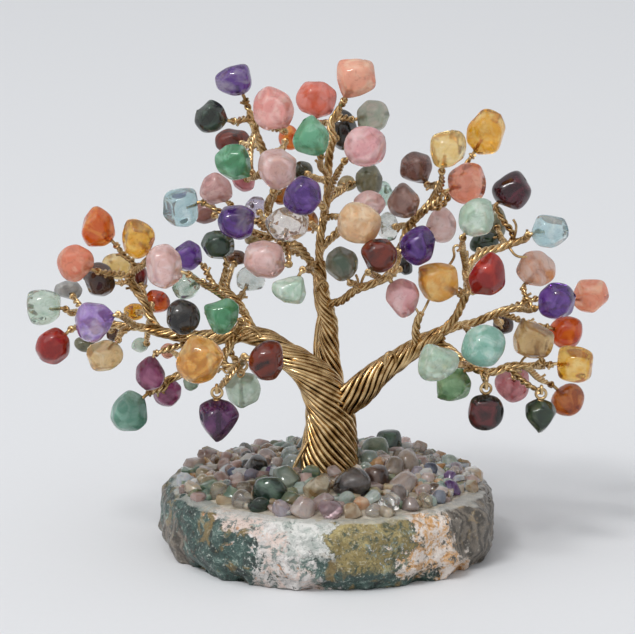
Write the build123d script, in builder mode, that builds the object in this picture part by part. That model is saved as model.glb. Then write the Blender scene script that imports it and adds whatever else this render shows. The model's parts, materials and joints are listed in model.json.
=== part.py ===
from build123d import *
import math
import os

# Gemstone tree ornament: tumbled, drilled gem beads on a trunk, limbs and twigs of twisted brass
# wire, set in a rough stone slab under a heap of gem chips.
# Frame: origin at the centre of the slab's underside, +X to the right as seen from the front,
# +Y to the back, +Z up. Lengths are in millimetres.
# The crown is irregular, so its places are columns and rows of a front view of the tree, with a
# depth behind the trunk as a share of the crown's depth.

# Overall sizes
CROWN_WIDTH = 164.0
CROWN_DEPTH = 90.0
BASE_WIDTH = 93.0
BASE_DEPTH = 90.0
BASE_THICKNESS = 19.0

# Front view: the eye's distance from the trunk and its height angle in degrees
VIEW_DISTANCE = 800.0
VIEW_ELEVATION = 12.5
CROWN_LEFT_COLUMN, CROWN_RIGHT_COLUMN = 26, 611
MIDDLE_COLUMN, MIDDLE_ROW = 317.5, 317
AXIS_COLUMN, FOOT_ROW = 327.5, 483

# Trunk and limbs: strands of wire laid to the left round a core
STRANDS_PER_LIMB = 5
TRUNK_STRAND_RADIUS = 0.84
LIMB_TIP_STRAND_RADIUS = 0.6
TRUNK_RING_RADIUS = 5.9
ROOT_RING_RADIUS = 7.0
ROOT_FLARE_HEIGHT = 16.0
TRUNK_LAY = 38.0
LIMB_TURN_LENGTH = 46.0
LIMB_RING_SHARE = 1.95
WRAP_START = 3.0
WRAP_END = 20.0
LIMB_CORE_START = 14.0
STRAND_STEP = 4.6
CORE_GAP = 0.45
LIMB_CORE_GAP = 0.22
SOCKET_DEPTH = 8.0
SOCKET_GAP = 0.4
WIRE_SIDES = 5
CORE_SIDES = 6

# Branches, twigs and the bores of the beads
LIMB_ROOT_RADIUS = 2.2
PLACE_STEPS = 4
END_LEAVING_SHARE = 0.6
BRANCH_RADIUS = 1.5
BRANCH_TIP_RADIUS = 1.15
TWIG_RADIUS = 0.9
BORE_WIRE_RADIUS = 0.5
BORE_GAP = 0.1
WIRE_GAP = 0.12
END_GAP = 0.5
TWIG_TEST_SHARES = (0.1, 0.3, 0.5, 0.7, 0.9)
TWIG_SPACING = 2.1
BORE_DEPTH_SHARE = 0.72
ENTRY_SHARE = 1.2

# Beads
BEAD_GAP = 0.3
BEAD_REACH_SHARE = 1.1
BEAD_THICKNESS_SHARE = 0.86
BEAD_LAYER_SHARES = ((-0.5, 0.58), (0.0, 1.0), (0.5, 0.6))

# Hanging drops: an eye of wire on a pin that ends a twig
EYE_HOLE_RADIUS = 1.05
EYE_OUTER_RADIUS = 1.75
EYE_THICKNESS = 1.0
EYE_SIDES = 8
EYE_DROP = 0.2
PIN_RADIUS = 0.5
PIN_REACH = 1.7
PIN_TURN_UP = 2.2
SWING_ROOM = 2.4

# Glue bed and chips
BED_WIDTH = 82.0
BED_DEPTH = 78.0
BED_TOP_RADIUS = 13.0
BED_HEIGHT = 4.6
BED_SIDES = 12
CHIP_GAP = 0.25
CHIP_SIDES = 6
CHIP_HEIGHT_SHARE = 0.56
CHIP_TOP_SHARE = 0.6
CHIP_UNEVEN_SHARE = 0.24
GOLDEN_SHARE = 0.382
FILL_CHIP_WIDTH = 4.6
FILL_TRIES = 260
SIGHT_STEPS = 40
CHIP_SETTLE_STEPS = 60
SETTLE_STEPS = 400
SETTLE_SHARE = 0.4
SETTLED_WITHIN = 0.02

# Slab outline seen from above, as shares of half its width and depth, from the right end round
# the back; and its levels, as shares of the thickness and of that outline
BASE_OUTLINE_SHARES = (
    (1.00, 0.06), (0.97, 0.36), (0.86, 0.62), (0.62, 0.84), (0.34, 0.95), (0.02, 1.00),
    (-0.32, 0.94), (-0.62, 0.82), (-0.86, 0.58), (-0.97, 0.28), (-1.00, -0.06), (-0.95, -0.34),
    (-0.80, -0.60), (-0.64, -0.78), (-0.42, -0.92), (-0.02, -1.00), (0.32, -0.96), (0.55, -0.82),
    (0.73, -0.76), (0.80, -0.60), (0.92, -0.50), (0.98, -0.24),
)
BASE_LEVEL_SHARES = ((0.0, 0.94), (0.3, 1.0), (0.82, 0.985), (1.0, 0.93))

# Outlines of the beads in the front view, as shares of their width and height, point upward
FORM_SHARES = {
    "round": ((0.5, 0.06), (0.3, 0.44), (-0.16, 0.5), (-0.48, 0.2), (-0.42, -0.3), (-0.02, -0.5),
              (0.4, -0.34)),
    "kite": ((0.02, 0.5), (-0.34, 0.22), (-0.5, -0.14), (-0.28, -0.44), (0.14, -0.5), (0.46, -0.24),
             (0.4, 0.2)),
    "pear": ((0.06, 0.5), (-0.26, 0.3), (-0.5, -0.1), (-0.34, -0.42), (0.06, -0.5), (0.44, -0.32),
             (0.46, 0.04)),
    "block": ((0.46, 0.36), (0.04, 0.5), (-0.42, 0.4), (-0.5, -0.06), (-0.34, -0.44), (0.16, -0.5),
              (0.5, -0.26)),
    "oval": ((0.5, 0.0), (0.3, 0.4), (-0.14, 0.5), (-0.47, 0.22), (-0.46, -0.24), (-0.06, -0.5),
             (0.36, -0.38)),
    "bean": ((0.04, 0.26), (-0.32, 0.5), (-0.5, 0.04), (-0.34, -0.42), (0.1, -0.5), (0.48, -0.16),
             (0.36, 0.46)),
}

# Trunk and limb axes in pixels, with depth shares, and the strand groups' places round the fork
TRUNK_PIXELS_AND_DEPTH_SHARES = (331, 418, 0.0)
LIMB_PIXELS_AND_DEPTH_SHARES = {
    "left": ((327, 398, -0.01), (307, 370, -0.03), (287, 355, -0.03), (270, 342, -0.02), (252, 335, -0.01),
             (225, 336, 0.0), (200, 337, 0.0), (175, 335, 0.0), (150, 329, 0.0)),
    "centre": ((330, 390, 0.03), (328, 365, 0.05), (328, 345, 0.05), (328, 325, 0.04), (325, 308, 0.02),
               (321, 292, 0.0), (320, 278, 0.0), (319, 262, 0.0)),
    "right": ((336, 408, -0.01), (357, 393, -0.03), (377, 375, -0.03), (397, 360, -0.03), (413, 350, -0.02),
              (428, 340, -0.02), (442, 333, -0.02)),
}
LIMB_FORK_ANGLES = {"left": 190.0, "centre": 70.0, "right": 310.0}

# Branches: the limb or branch that carries each, and its route in pixels with depth shares
BRANCH_PIXELS_AND_DEPTH_SHARES = {
    "left_rise": ("left", ((248, 320, 0.02), (243, 310, 0.03), (233, 297, 0.03), (216, 288, 0.03),
                           (204, 285, 0.03))),
    "left_tip": ("left", ((138, 327, 0.0), (122, 326, 0.02), (108, 323, 0.04), (92, 317, 0.05),
                          (77, 312, 0.05))),
    "left_upper": ("left", ((152, 320, 0.04), (145, 303, 0.05), (136, 290, 0.05), (131, 278, 0.05),
                            (137, 264, 0.06))),
    "left_low": ("left", ((207, 352, 0.02), (190, 369, 0.02), (175, 377, 0.0), (162, 383, 0.0),
                          (151, 391, 0.0))),
    "left_hanger": ("left", ((227, 350, -0.06), (224, 364, -0.10), (234, 367, -0.12), (245, 360, -0.14))),
    "centre_up": ("centre", ((320, 240, 0.0), (323, 222, 0.0), (326, 204, 0.0), (328, 186, 0.0),
                             (327, 166, 0.0))),
    "centre_left": ("centre", ((307, 257, -0.04), (298, 246, -0.07), (284, 241, -0.08), (272, 230, -0.08),
                               (258, 222, -0.08))),
    "crown_left": ("centre_left", ((268, 210, -0.04), (274, 190, 0.0), (270, 170, 0.02), (263, 150, 0.02),
                                   (255, 130, 0.0), (249, 110, 0.0))),
    "crown_top": ("centre_up", ((330, 150, -0.01), (333, 138, -0.02), (331, 125, -0.02),
                                (340, 108, -0.02))),
    "centre_right": ("centre", ((343, 300, -0.04), (356, 290, -0.07), (372, 284, -0.08), (386, 277, -0.08),
                                (398, 265, -0.07))),
    "crown_right": ("centre_right", ((402, 245, -0.04), (409, 226, -0.02), (421, 213, 0.0), (433, 199, 0.0),
                                     (440, 182, 0.0))),
    "right_rise": ("right", ((454, 319, -0.03), (461, 306, -0.04), (467, 290, -0.05), (466, 270, -0.05),
                             (465, 250, -0.05))),
    "right_arm": ("right_rise", ((482, 253, -0.02), (499, 248, 0.0), (513, 243, 0.0), (526, 239, 0.0))),
    "right_tip": ("right", ((458, 326, 0.0), (476, 322, 0.01), (492, 315, 0.01), (510, 309, 0.0),
                            (530, 309, 0.0))),
    "right_low": ("right", ((447, 347, -0.01), (460, 358, -0.05), (474, 368, -0.07), (492, 372, -0.07),
                            (510, 366, -0.05), (529, 366, -0.05), (545, 366, -0.05))),
    "right_spur": ("right", ((416, 330, -0.06), (417, 323, -0.07), (421, 313, -0.08))),
}

# Beads on each branch: kind, column, row, width and height in pixels, depth share, form, the way
# its point looks in degrees, and the pixel where the wire goes in (None where it is hidden)
BEAD_PIXELS_AND_DEPTH_SHARES = {
    "left": (
        ("obsidian", 182, 317, 35, 35, -0.28, "round", 80, None),
        ("aventurine", 220, 315, 38, 36, -0.16, "pear", 150, (236, 319)),
        ("honey_calcite", 199, 361, 46, 45, -0.36, "block", 60, None),
        ("peach_moonstone", 168, 351, 15, 15, 0.24, "round", 90, None),
        ("rhodonite", 150, 373, 29, 36, -0.08, "oval", 90, (154, 356)),
        ("pale_jade", 140, 345, 19, 15, 0.24, "oval", 90, None),
    ),
    "left_rise": (
        ("aquamarine", 186, 286, 29, 28, -0.06, "round", 120, (194, 284)),
        ("amethyst", 189, 256, 27, 31, 0.12, "bean", 200, (198, 262)),
        ("moss_agate", 219, 245, 36, 29, -0.04, "oval", 65, (222, 252)),
        ("smoky_quartz", 236, 258, 24, 16, 0.28, "oval", 90, None),
        ("clear_quartz", 250, 279, 30, 24, 0.16, "oval", 90, (246, 287)),
        ("rose_quartz", 164, 266, 37, 46, -0.24, "block", 80, (176, 270)),
    ),
    "left_upper": (
        ("carnelian", 98, 227, 38, 42, 0.0, "kite", 95, (106, 235)),
        ("citrine", 136, 237, 36, 39, -0.12, "pear", 120, (141, 243)),
        ("peach_moonstone", 76, 263, 36, 38, -0.08, "round", 60, (81, 265)),
        ("smoky_quartz", 99, 280, 33, 35, 0.0, "block", 90, (111, 282)),
        ("citrine", 117, 267, 30, 26, 0.10, "oval", 70, None),
        ("red_jasper", 139, 277, 18, 28, 0.12, "oval", 90, None),
        ("carnelian", 156, 301, 26, 24, 0.08, "round", 90, None),
        ("citrine", 134, 312, 22, 18, 0.20, "oval", 90, None),
    ),
    "left_tip": (
        ("amethyst", 95, 322, 41, 40, -0.24, "round", 100, (104, 319)),
        ("clear_quartz", 44, 307, 36, 34, -0.08, "block", 90, (56, 308)),
        ("olive_jasper", 68, 289, 29, 20, 0.20, "oval", 90, None),
        ("red_jasper", 54, 346, 39, 38, -0.12, "kite", 85, (65, 335)),
        ("honey_calcite", 104, 356, 37, 33, -0.20, "oval", 120, (114, 345)),
        ("olive_jasper", 85, 344, 22, 16, 0.16, "oval", 90, None),
        ("smoky_quartz", 113, 334, 14, 14, 0.14, "round", 90, None),
    ),
    "left_low": (
        ("rhodonite", 167, 393, 29, 28, 0.08, "round", 60, None),
        ("amazonite", 129, 411, 40, 43, -0.02, "kite", 95, (141, 400)),
        ("olive_jasper", 191, 383, 16, 16, 0.08, "round", 90, None),
    ),
    "left_hanger": (
        ("mahogany_obsidian", 266, 361, 34, 40, -0.40, "block", 100, (252, 358)),
    ),
    "centre_left": (
        ("amethyst", 236, 222, 36, 37, -0.12, "block", 80, (250, 221)),
        ("aquamarine", 180, 208, 35, 39, -0.08, "block", 100, (191, 205)),
        ("rose_quartz", 216, 188, 33, 34, 0.08, "pear", 100, (224, 198)),
        ("mahogany_obsidian", 205, 212, 26, 24, 0.32, "round", 90, None),
        ("clear_quartz", 255, 208, 22, 22, 0.28, "round", 90, None),
        ("smoky_quartz", 257, 240, 28, 16, 0.20, "oval", 90, None),
        ("rose_quartz", 265, 260, 42, 40, -0.20, "round", 70, (283, 264)),
        ("pale_jade", 292, 288, 37, 33, -0.32, "pear", 60, (300, 274)),
        ("clear_quartz", 288, 223, 42, 36, -0.16, "oval", 55, (285, 231)),
    ),
    "crown_left": (
        ("amethyst", 235, 79, 40, 35, 0.0, "kite", 60, (239, 87)),
        ("moss_agate", 212, 116, 36, 34, -0.08, "kite", 100, (223, 119)),
        ("strawberry_quartz", 272, 109, 42, 45, -0.16, "kite", 105, (278, 119)),
        ("mahogany_obsidian", 233, 141, 36, 26, 0.20, "oval", 90, None),
        ("aventurine", 233, 162, 37, 38, -0.20, "round", 90, (241, 167)),
        ("rose_quartz", 278, 167, 41, 41, -0.24, "block", 80, (276, 178)),
        ("carnelian", 289, 138, 22, 24, 0.28, "round", 90, None),
        ("strawberry_quartz", 243, 181, 24, 22, 0.32, "round", 90, None),
        ("honey_calcite", 280, 194, 18, 22, 0.20, "round", 90, None),
    ),
    "centre_up": (
        ("olive_jasper", 303, 172, 20, 22, 0.24, "round", 90, None),
        ("aventurine", 311, 135, 36, 42, -0.24, "pear", 90, (317, 148)),
        ("rose_quartz", 366, 148, 42, 40, -0.20, "block", 90, (354, 155)),
        ("olive_jasper", 369, 180, 28, 32, 0.16, "round", 90, (358, 182)),
        ("amethyst", 303, 195, 39, 40, -0.36, "kite", 100, (316, 203)),
        ("honey_calcite", 308, 221, 22, 22, 0.16, "round", 90, None),
        ("peach_moonstone", 358, 222, 41, 42, -0.24, "block", 70, None),
        ("rose_quartz", 369, 204, 34, 26, 0.04, "oval", 90, None),
        ("aquamarine", 382, 194, 22, 26, 0.28, "round", 90, None),
        ("smoky_quartz", 347, 184, 20, 16, 0.20, "oval", 90, None),
    ),
    "crown_top": (
        ("peach_moonstone", 356, 78, 39, 41, -0.04, "block", 90, (350, 89)),
        ("strawberry_quartz", 316, 100, 38, 38, 0.12, "block", 75, (316, 111)),
        ("obsidian", 343, 131, 30, 42, 0.10, "oval", 90, None),
        ("pale_jade", 373, 116, 34, 34, 0.04, "round", 90, (362, 118)),
    ),
    "centre_right": (
        ("olive_jasper", 342, 264, 34, 34, -0.16, "round", 80, (347, 276)),
        ("mahogany_obsidian", 380, 255, 37, 36, -0.30, "round", 100, (371, 268)),
        ("rose_quartz", 402, 297, 36, 38, -0.20, "pear", 270, (394, 285)),
        ("honey_calcite", 438, 282, 41, 41, -0.14, "block", 90, (421, 272)),
        ("obsidian", 405, 266, 16, 18, 0.16, "round", 90, None),
    ),
    "crown_right": (
        ("amethyst", 419, 244, 37, 39, -0.18, "kite", 70, (408, 248)),
        ("clear_quartz", 388, 227, 22, 30, 0.12, "oval", 90, None),
        ("smoky_quartz", 415, 168, 32, 33, 0.12, "round", 80, (419, 174)),
        ("citrine", 448, 149, 36, 37, -0.16, "block", 90, (445, 159)),
        ("citrine", 486, 133, 38, 42, 0.0, "block", 60, (478, 146)),
        ("carnelian", 468, 183, 40, 42, -0.04, "round", 90, (457, 187)),
        ("smoky_quartz", 404, 200, 33, 37, -0.04, "pear", 90, (410, 211)),
        ("rose_quartz", 440, 226, 32, 38, 0.06, "oval", 90, None),
    ),
    "right_rise": (
        ("pale_jade", 476, 218, 39, 39, -0.28, "round", 80, (467, 231)),
        ("moss_agate", 484, 243, 30, 22, 0.12, "oval", 90, None),
        ("red_jasper", 489, 273, 38, 44, -0.32, "kite", 85, (478, 286)),
    ),
    "right_arm": (
        ("garnet", 511, 192, 36, 37, 0.04, "bean", 40, (502, 200)),
        ("olive_jasper", 495, 222, 22, 34, 0.24, "oval", 90, None),
        ("aquamarine", 550, 231, 40, 33, -0.08, "bean", 90, (538, 233)),
    ),
    "right_tip": (
        ("rose_quartz", 537, 269, 40, 37, 0.08, "round", 60, (530, 278)),
        ("amethyst", 557, 301, 40, 39, -0.16, "round", 90, (545, 305)),
        ("carnelian", 591, 297, 38, 35, 0.12, "bean", 90, (580, 298)),
        ("carnelian", 565, 333, 36, 32, 0.12, "round", 80, None),
        ("smoky_quartz", 503, 324, 20, 21, 0.20, "round", 90, None),
        ("amazonite", 484, 348, 42, 42, -0.28, "round", 70, None),
    ),
    "right_low": (
        ("honey_calcite", 532, 339, 40, 41, -0.12, "block", 70, (538, 352)),
        ("pale_jade", 435, 361, 43, 39, -0.44, "pear", 120, None),
        ("pale_jade", 453, 384, 36, 34, -0.12, "round", 90, (463, 373)),
        ("strawberry_quartz", 513, 384, 35, 36, 0.14, "round", 90, None),
        ("citrine", 575, 364, 38, 36, -0.08, "block", 80, (562, 364)),
        ("carnelian", 568, 399, 34, 36, 0.12, "round", 100, (559, 391)),
    ),
}

# Hanging drops: name, the branch above, column, row, width and height of the stone in pixels,
# depth share, form, point direction, and the row of the eye
DROP_PIXELS_AND_DEPTH_SHARES = (
    ("bloodstone_drop", "right_low", 486, 411, 36, 35, -0.20, "block", 90, 388),
    ("moss_drop", "right_low", 541, 416, 32, 34, -0.16, "pear", 270, 393),
    ("jade_drop", "left_hanger", 242, 391, 36, 36, -0.02, "round", 90, 365),
    ("plum_drop", "left_hanger", 217, 420, 41, 45, -0.34, "pear", 270, 392),
)

# Chips of the heap by mineral: column, row and width in pixels
CHIP_PIXELS = {
    "dark_chips": ((255, 463, 28), (234, 473, 14), (357, 482, 36), (378, 475, 28), (259, 494, 34),
                   (434, 488, 14)),
    "green_chips": ((285, 477, 30), (286, 456, 20), (365, 458, 20), (218, 478, 18), (188, 489, 20),
                    (288, 500, 20),
                    (372, 491, 14)),
    "clear_chips": ((207, 495, 22), (226, 507, 23), (242, 488, 20), (227, 485, 14), (385, 506, 26),
                    (376, 518, 18),
                    (249, 509, 20), (435, 506, 20)),
    "pink_chips": ((230, 470, 14), (309, 513, 26), (321, 501, 20), (335, 511, 25), (405, 482, 26),
                   (420, 489, 16),
                   (403, 499, 22), (397, 466, 24)),
    "tan_chips": ((198, 482, 18), (318, 487, 30), (354, 516, 20), (362, 504, 16), (425, 513, 18),
                  (448, 500, 16),
                  (429, 479, 14), (441, 484, 12)),
    "lilac_chips": ((254, 473, 18), (287, 515, 20), (454, 487, 20), (414, 470, 14)),
}

# The front view as a projection
PIXEL = CROWN_WIDTH / (CROWN_RIGHT_COLUMN - CROWN_LEFT_COLUMN)
FOCAL_PIXELS = VIEW_DISTANCE / PIXEL
TILT = math.radians(VIEW_ELEVATION)
RIGHT, BACK, UP = Vector(1, 0, 0), Vector(0, 1, 0), Vector(0, 0, 1)
LOOK = BACK * math.cos(TILT) - UP * math.sin(TILT)
RISE = BACK * math.sin(TILT) + UP * math.cos(TILT)
AIM_HEIGHT = BASE_THICKNESS + (FOOT_ROW - MIDDLE_ROW) * PIXEL / math.cos(TILT)
AIM = RIGHT * ((MIDDLE_COLUMN - AXIS_COLUMN) * PIXEL) + UP * AIM_HEIGHT
EYE = AIM - LOOK * VIEW_DISTANCE


def place(column, row, depth_share):
    """The point seen at a column and row, a share of the crown's depth behind the trunk."""
    across = RIGHT * ((column - MIDDLE_COLUMN) / FOCAL_PIXELS)
    sight = LOOK + across + RISE * ((MIDDLE_ROW - row) / FOCAL_PIXELS)
    return EYE + sight * ((depth_share * CROWN_DEPTH - EYE.Y) / sight.Y)


def pixel_at(point):
    """The length that one pixel spans at a point's distance from the eye."""
    return (point - EYE).dot(LOOK) / FOCAL_PIXELS


def square_to(direction, guide):
    """The part of a guide vector that is square to a direction, as a unit vector."""
    return (guide - direction * guide.dot(direction)).normalized()


def any_square(direction):
    """A unit vector square to a direction."""
    return square_to(direction, BACK if abs(direction.Y) < abs(direction.X) + abs(direction.Z) else UP)


def faceted(rings, flat):
    """A solid with flat faces between rings of points, each side one face or, where it twists, two."""
    faces = [Face(Wire.make_polygon(rings[0])), Face(Wire.make_polygon(rings[-1]))]
    for ring, next_ring in zip(rings, rings[1:]):
        for index in range(len(ring)):
            a, b = ring[index - 1], ring[index]
            c, d = next_ring[index], next_ring[index - 1]
            sides = [[a, b, c, d]] if flat else [[a, b, c], [a, c, d]]
            faces += [Face(Wire.make_polygon(side)) for side in sides]
    return Solid(Shell(faces))


def wire_bar(points, radii, sides):
    """A bundle of wire as a bar of flat sides along points, with a radius at each."""
    legs = [(end - start).normalized() for start, end in zip(points, points[1:])]
    ways = [legs[0], *[(a + b).normalized() for a, b in zip(legs, legs[1:])], legs[-1]]
    angles = [2 * math.pi * corner / sides for corner in range(sides)]
    side = any_square(ways[0])
    rings = []
    for point, way, radius in zip(points, ways, radii):
        side = square_to(way, side)
        other_side = way.cross(side)
        rings.append([point + (side * math.cos(a) + other_side * math.sin(a)) * radius for a in angles])
    return faceted(rings, False)


def closest_on(route, point):
    """How far along a route of points its closest place to a point lies."""
    best = None
    travelled = 0
    for start, end in zip(route, route[1:]):
        leg = end - start
        share = min(1, max(0, (point - start).dot(leg) / leg.dot(leg)))
        spot = start + leg * share
        gap = (point - spot).length
        if best is None or gap < best[0]:
            best = (gap, travelled + leg.length * share)
        travelled += leg.length
    return best[1]


def point_along(route, distance):
    """The point of a route at a distance from its start, and the direction there."""
    for start, end in zip(route, route[1:]):
        leg = end - start
        if distance <= leg.length or end is route[-1]:
            return start + leg * min(1, distance / leg.length), leg.normalized()
        distance -= leg.length


def route_length(route):
    """The length of a route of points."""
    return sum((end - start).length for start, end in zip(route, route[1:]))


def ramp(value, start, end):
    """How far a value is from start to end, as a smooth share from 0 to 1."""
    share = min(1, max(0, (value - start) / (end - start)))
    return share * share * (3 - 2 * share)


# Trunk and limbs: each strand runs unbroken from the socket up the trunk and out along its limb

SOCKET_FLOOR = BASE_THICKNESS - SOCKET_DEPTH
FORK = place(*TRUNK_PIXELS_AND_DEPTH_SHARES)
ROOT = Vector(FORK.X, FORK.Y, SOCKET_FLOOR + TRUNK_STRAND_RADIUS)
FORK_LENGTH = FORK.Z - ROOT.Z
TRUNK_TURN = math.tan(math.radians(TRUNK_LAY)) / TRUNK_RING_RADIUS
LIMB_TURN = 2 * math.pi / LIMB_TURN_LENGTH


def limb_stations(name):
    """Points up the trunk and along a limb: centre, direction, a square side and distance from the root."""
    spots = [place(*spot) for spot in LIMB_PIXELS_AND_DEPTH_SHARES[name]]
    with BuildLine() as axis:
        Spline(FORK, *spots, tangents=(UP, spots[-1] - spots[-2]))
    limb = axis.edges()[0]
    trunk_count = math.ceil(FORK_LENGTH / STRAND_STEP)
    limb_count = math.ceil(limb.length / STRAND_STEP)
    stations = []
    for index in range(trunk_count):
        distance = FORK_LENGTH * index / trunk_count
        stations.append((ROOT + UP * distance, UP, RIGHT, distance))
    side = RIGHT
    for index in range(limb_count + 1):
        distance = limb.length * index / limb_count
        way = limb.tangent_at(distance, position_mode=PositionMode.LENGTH).normalized()
        side = square_to(way, side)
        centre = limb.position_at(distance, position_mode=PositionMode.LENGTH)
        stations.append((centre, way, side, FORK_LENGTH + distance))
    return stations


def strand_radius(distance, length):
    """A strand's radius at a distance from the root: full in the trunk, thinning to the limb's tip."""
    thinning = ramp(distance, FORK_LENGTH, length)
    return TRUNK_STRAND_RADIUS + (LIMB_TIP_STRAND_RADIUS - TRUNK_STRAND_RADIUS) * thinning


def ring_radius(distance, length):
    """The radius of the ring of strands: flared at the root, then the trunk's, then the limb's."""
    flare = 1 - ramp(distance, 0, ROOT_FLARE_HEIGHT)
    trunk = TRUNK_RING_RADIUS + (ROOT_RING_RADIUS - TRUNK_RING_RADIUS) * flare
    limb = LIMB_RING_SHARE * strand_radius(distance, length)
    return trunk + (limb - trunk) * ramp(distance, FORK_LENGTH, FORK_LENGTH + WRAP_END)


def strand(name, index):
    """One strand: it winds up the trunk, leaves with its limb, closes round the limb's core and winds on."""
    stations = LIMB_STATIONS[name]
    length = stations[-1][3]
    groups = len(LIMB_FORK_ANGLES)
    seat = (index - (STRANDS_PER_LIMB - 1) / 2) * 2 * math.pi / (groups * STRANDS_PER_LIMB)
    points, radii = [], []
    for centre, way, side, distance in stations:
        past_fork = distance - FORK_LENGTH
        wrap = 1 + (groups - 1) * ramp(past_fork, WRAP_START, WRAP_END)
        turned = TRUNK_TURN * min(0, past_fork) + LIMB_TURN * max(0, past_fork - WRAP_END)
        angle = math.radians(LIMB_FORK_ANGLES[name]) + seat * wrap - turned
        outward = side * math.cos(angle) + way.cross(side) * math.sin(angle)
        points.append(centre + outward * ring_radius(distance, length))
        radii.append(strand_radius(distance, length))
    return wire_bar(points, radii, WIRE_SIDES)


def limb_core(name):
    """The wires in the middle of a limb, from where its strands have closed round them to its tip."""
    stations = LIMB_STATIONS[name]
    length = stations[-1][3]
    inner = [row for row in stations if row[3] >= FORK_LENGTH + LIMB_CORE_START]
    radii = [(LIMB_RING_SHARE - 1) * strand_radius(row[3], length) - LIMB_CORE_GAP for row in inner]
    return wire_bar([row[0] for row in inner], radii, CORE_SIDES)


LIMB_STATIONS = {name: limb_stations(name) for name in LIMB_PIXELS_AND_DEPTH_SHARES}

# Crown layout, settled in the front view with columns, rows and depths all in pixels


def seen(point):
    """A point in the front view: its column, its row and its depth in pixels."""
    sight = point - EYE
    scale = FOCAL_PIXELS / sight.dot(LOOK)
    column = MIDDLE_COLUMN + sight.dot(RIGHT) * scale
    row = MIDDLE_ROW - sight.dot(RISE) * scale
    return Vector(column, row, point.Y / PIXEL)


def real(view):
    """The point of the tree at a place in the front view."""
    return place(view.X, view.Y, view.Z * PIXEL / CROWN_DEPTH)


ROUTES = {name: [row[0] for row in stations] for name, stations in LIMB_STATIONS.items()}
OUTER_RADII = {name: LIMB_ROOT_RADIUS for name in ROUTES}
TAKEN = {name: [] for name in ROUTES}


def free_place(parent, target, spacing):
    """The distance along a parent wire that is closest to a target and clear of others that leave it."""
    length = route_length(ROUTES[parent])
    wanted = min(length, closest_on(ROUTES[parent], target))
    step = spacing / PLACE_STEPS
    tries = range(math.ceil(length / step))
    offers = [wanted + sign * step * index for index in tries for sign in (-1, 1)]
    for offer in offers:
        if spacing <= offer <= length and all(abs(offer - other) >= spacing for other in TAKEN[parent]):
            TAKEN[parent].append(offer)
            return offer
    return wanted


def leave(parent, distance, target, radius):
    """Where a wire of a radius starts from a distance along its parent, clear of the parent's surface."""
    spot, way = point_along(ROUTES[parent], distance)
    toward = (target - spot).normalized()
    along = toward.dot(way)
    at_end = distance >= route_length(ROUTES[parent]) - WIRE_GAP
    if at_end and along > END_LEAVING_SHARE:
        gap = END_GAP if parent in LIMB_STATIONS else WIRE_GAP
        return spot + toward * ((gap + radius * math.sqrt(1 - along * along)) / along)
    outer = OUTER_RADII[parent] * (BRANCH_TIP_RADIUS / BRANCH_RADIUS if at_end else 1)
    return spot + square_to(way, toward) * (outer + WIRE_GAP + radius * abs(along))


def lay_branch(name):
    """Place a branch's route from the surface of the wire that carries it."""
    parent, spots = BRANCH_PIXELS_AND_DEPTH_SHARES[name]
    points = [place(*spot) for spot in spots]
    distance = free_place(parent, points[0], 2 * BRANCH_RADIUS + WIRE_GAP)
    ROUTES[name] = [leave(parent, distance, points[0], BRANCH_RADIUS), *points]
    OUTER_RADII[name] = BRANCH_RADIUS
    TAKEN[name] = []


for branch in BRANCH_PIXELS_AND_DEPTH_SHARES:
    lay_branch(branch)


class Stone:
    """A bead or drop: its picture, its depth in pixels and the wire that carries it."""

    def __init__(self, kind, parent, column, row, width, height, depth_share, form, turn, entry,
                 eye_row=None):
        self.kind, self.parent, self.form, self.turn = kind, parent, form, turn
        self.column, self.row = column, row
        self.width, self.height = width, height
        self.depth = depth_share * CROWN_DEPTH / PIXEL
        self.half = (width + height) / 4
        self.reach = self.half * BEAD_REACH_SHARE + (SWING_ROOM / PIXEL if eye_row else 0)
        self.entry, self.eye_row = entry, eye_row
        target = Vector(*(entry or (column, eye_row or row)), self.depth)
        self.leaves_at = free_place(parent, real(target), TWIG_SPACING)
        spot, _ = point_along(ROUTES[parent], self.leaves_at)
        self.root = seen(spot)

    def view(self):
        """The stone's centre in the front view."""
        return Vector(self.column, self.row, self.depth)

    def way_in(self):
        """Where its wire goes in, in the front view: a drop's eye, or a spot just off a bead."""
        if self.eye_row:
            return Vector(self.column, self.eye_row, self.depth)
        aim = Vector(*self.entry, self.depth) if self.entry else self.root
        return self.view() + (aim - self.view()).normalized() * (self.half * ENTRY_SHARE)


def depth_needed(stone, spot, reach):
    """How far apart in depth a stone and a spot of the front view must stand, 0 where they don't cross."""
    across = math.hypot(stone.column - spot.X, stone.row - spot.Y)
    need = stone.reach + reach + BEAD_GAP / PIXEL
    return math.sqrt(max(0, need * need - across * across))


def share_on(start, end, stone):
    """Where along a wire's straight run it lies nearest to a stone in the front view, as a share."""
    across, down = end.X - start.X, end.Y - start.Y
    along = (stone.column - start.X) * across + (stone.row - start.Y) * down
    return min(1, max(0, along / max(1, across * across + down * down)))


def crossings(stones):
    """Each crossing in the front view: a stone, another one or None, a depth, a share of that other
    stone's depth to add to it, and the depth that must lie between."""
    runs = []
    for name, route in ROUTES.items():
        view = [seen(point) for point in route]
        runs += [(start, end, OUTER_RADII[name] / PIXEL) for start, end in zip(view, view[1:])]
    found = []
    for index, stone in enumerate(stones):
        for start, end, reach in runs:
            spot = start + (end - start) * share_on(start, end, stone)
            found.append((index, None, spot.Z, 0, depth_needed(stone, spot, reach)))
        for other_index, other in enumerate(stones):
            if other_index < index:
                found.append((index, other_index, 0, 1, depth_needed(stone, other.view(), other.reach)))
            if other_index != index:
                start, end = other.root, other.way_in()
                for share in TWIG_TEST_SHARES:
                    need = depth_needed(stone, start + (end - start) * share, TWIG_RADIUS / PIXEL)
                    found.append((index, other_index, start.Z * (1 - share), share, need))
    return [row for row in found if row[-1] > 0]


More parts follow.
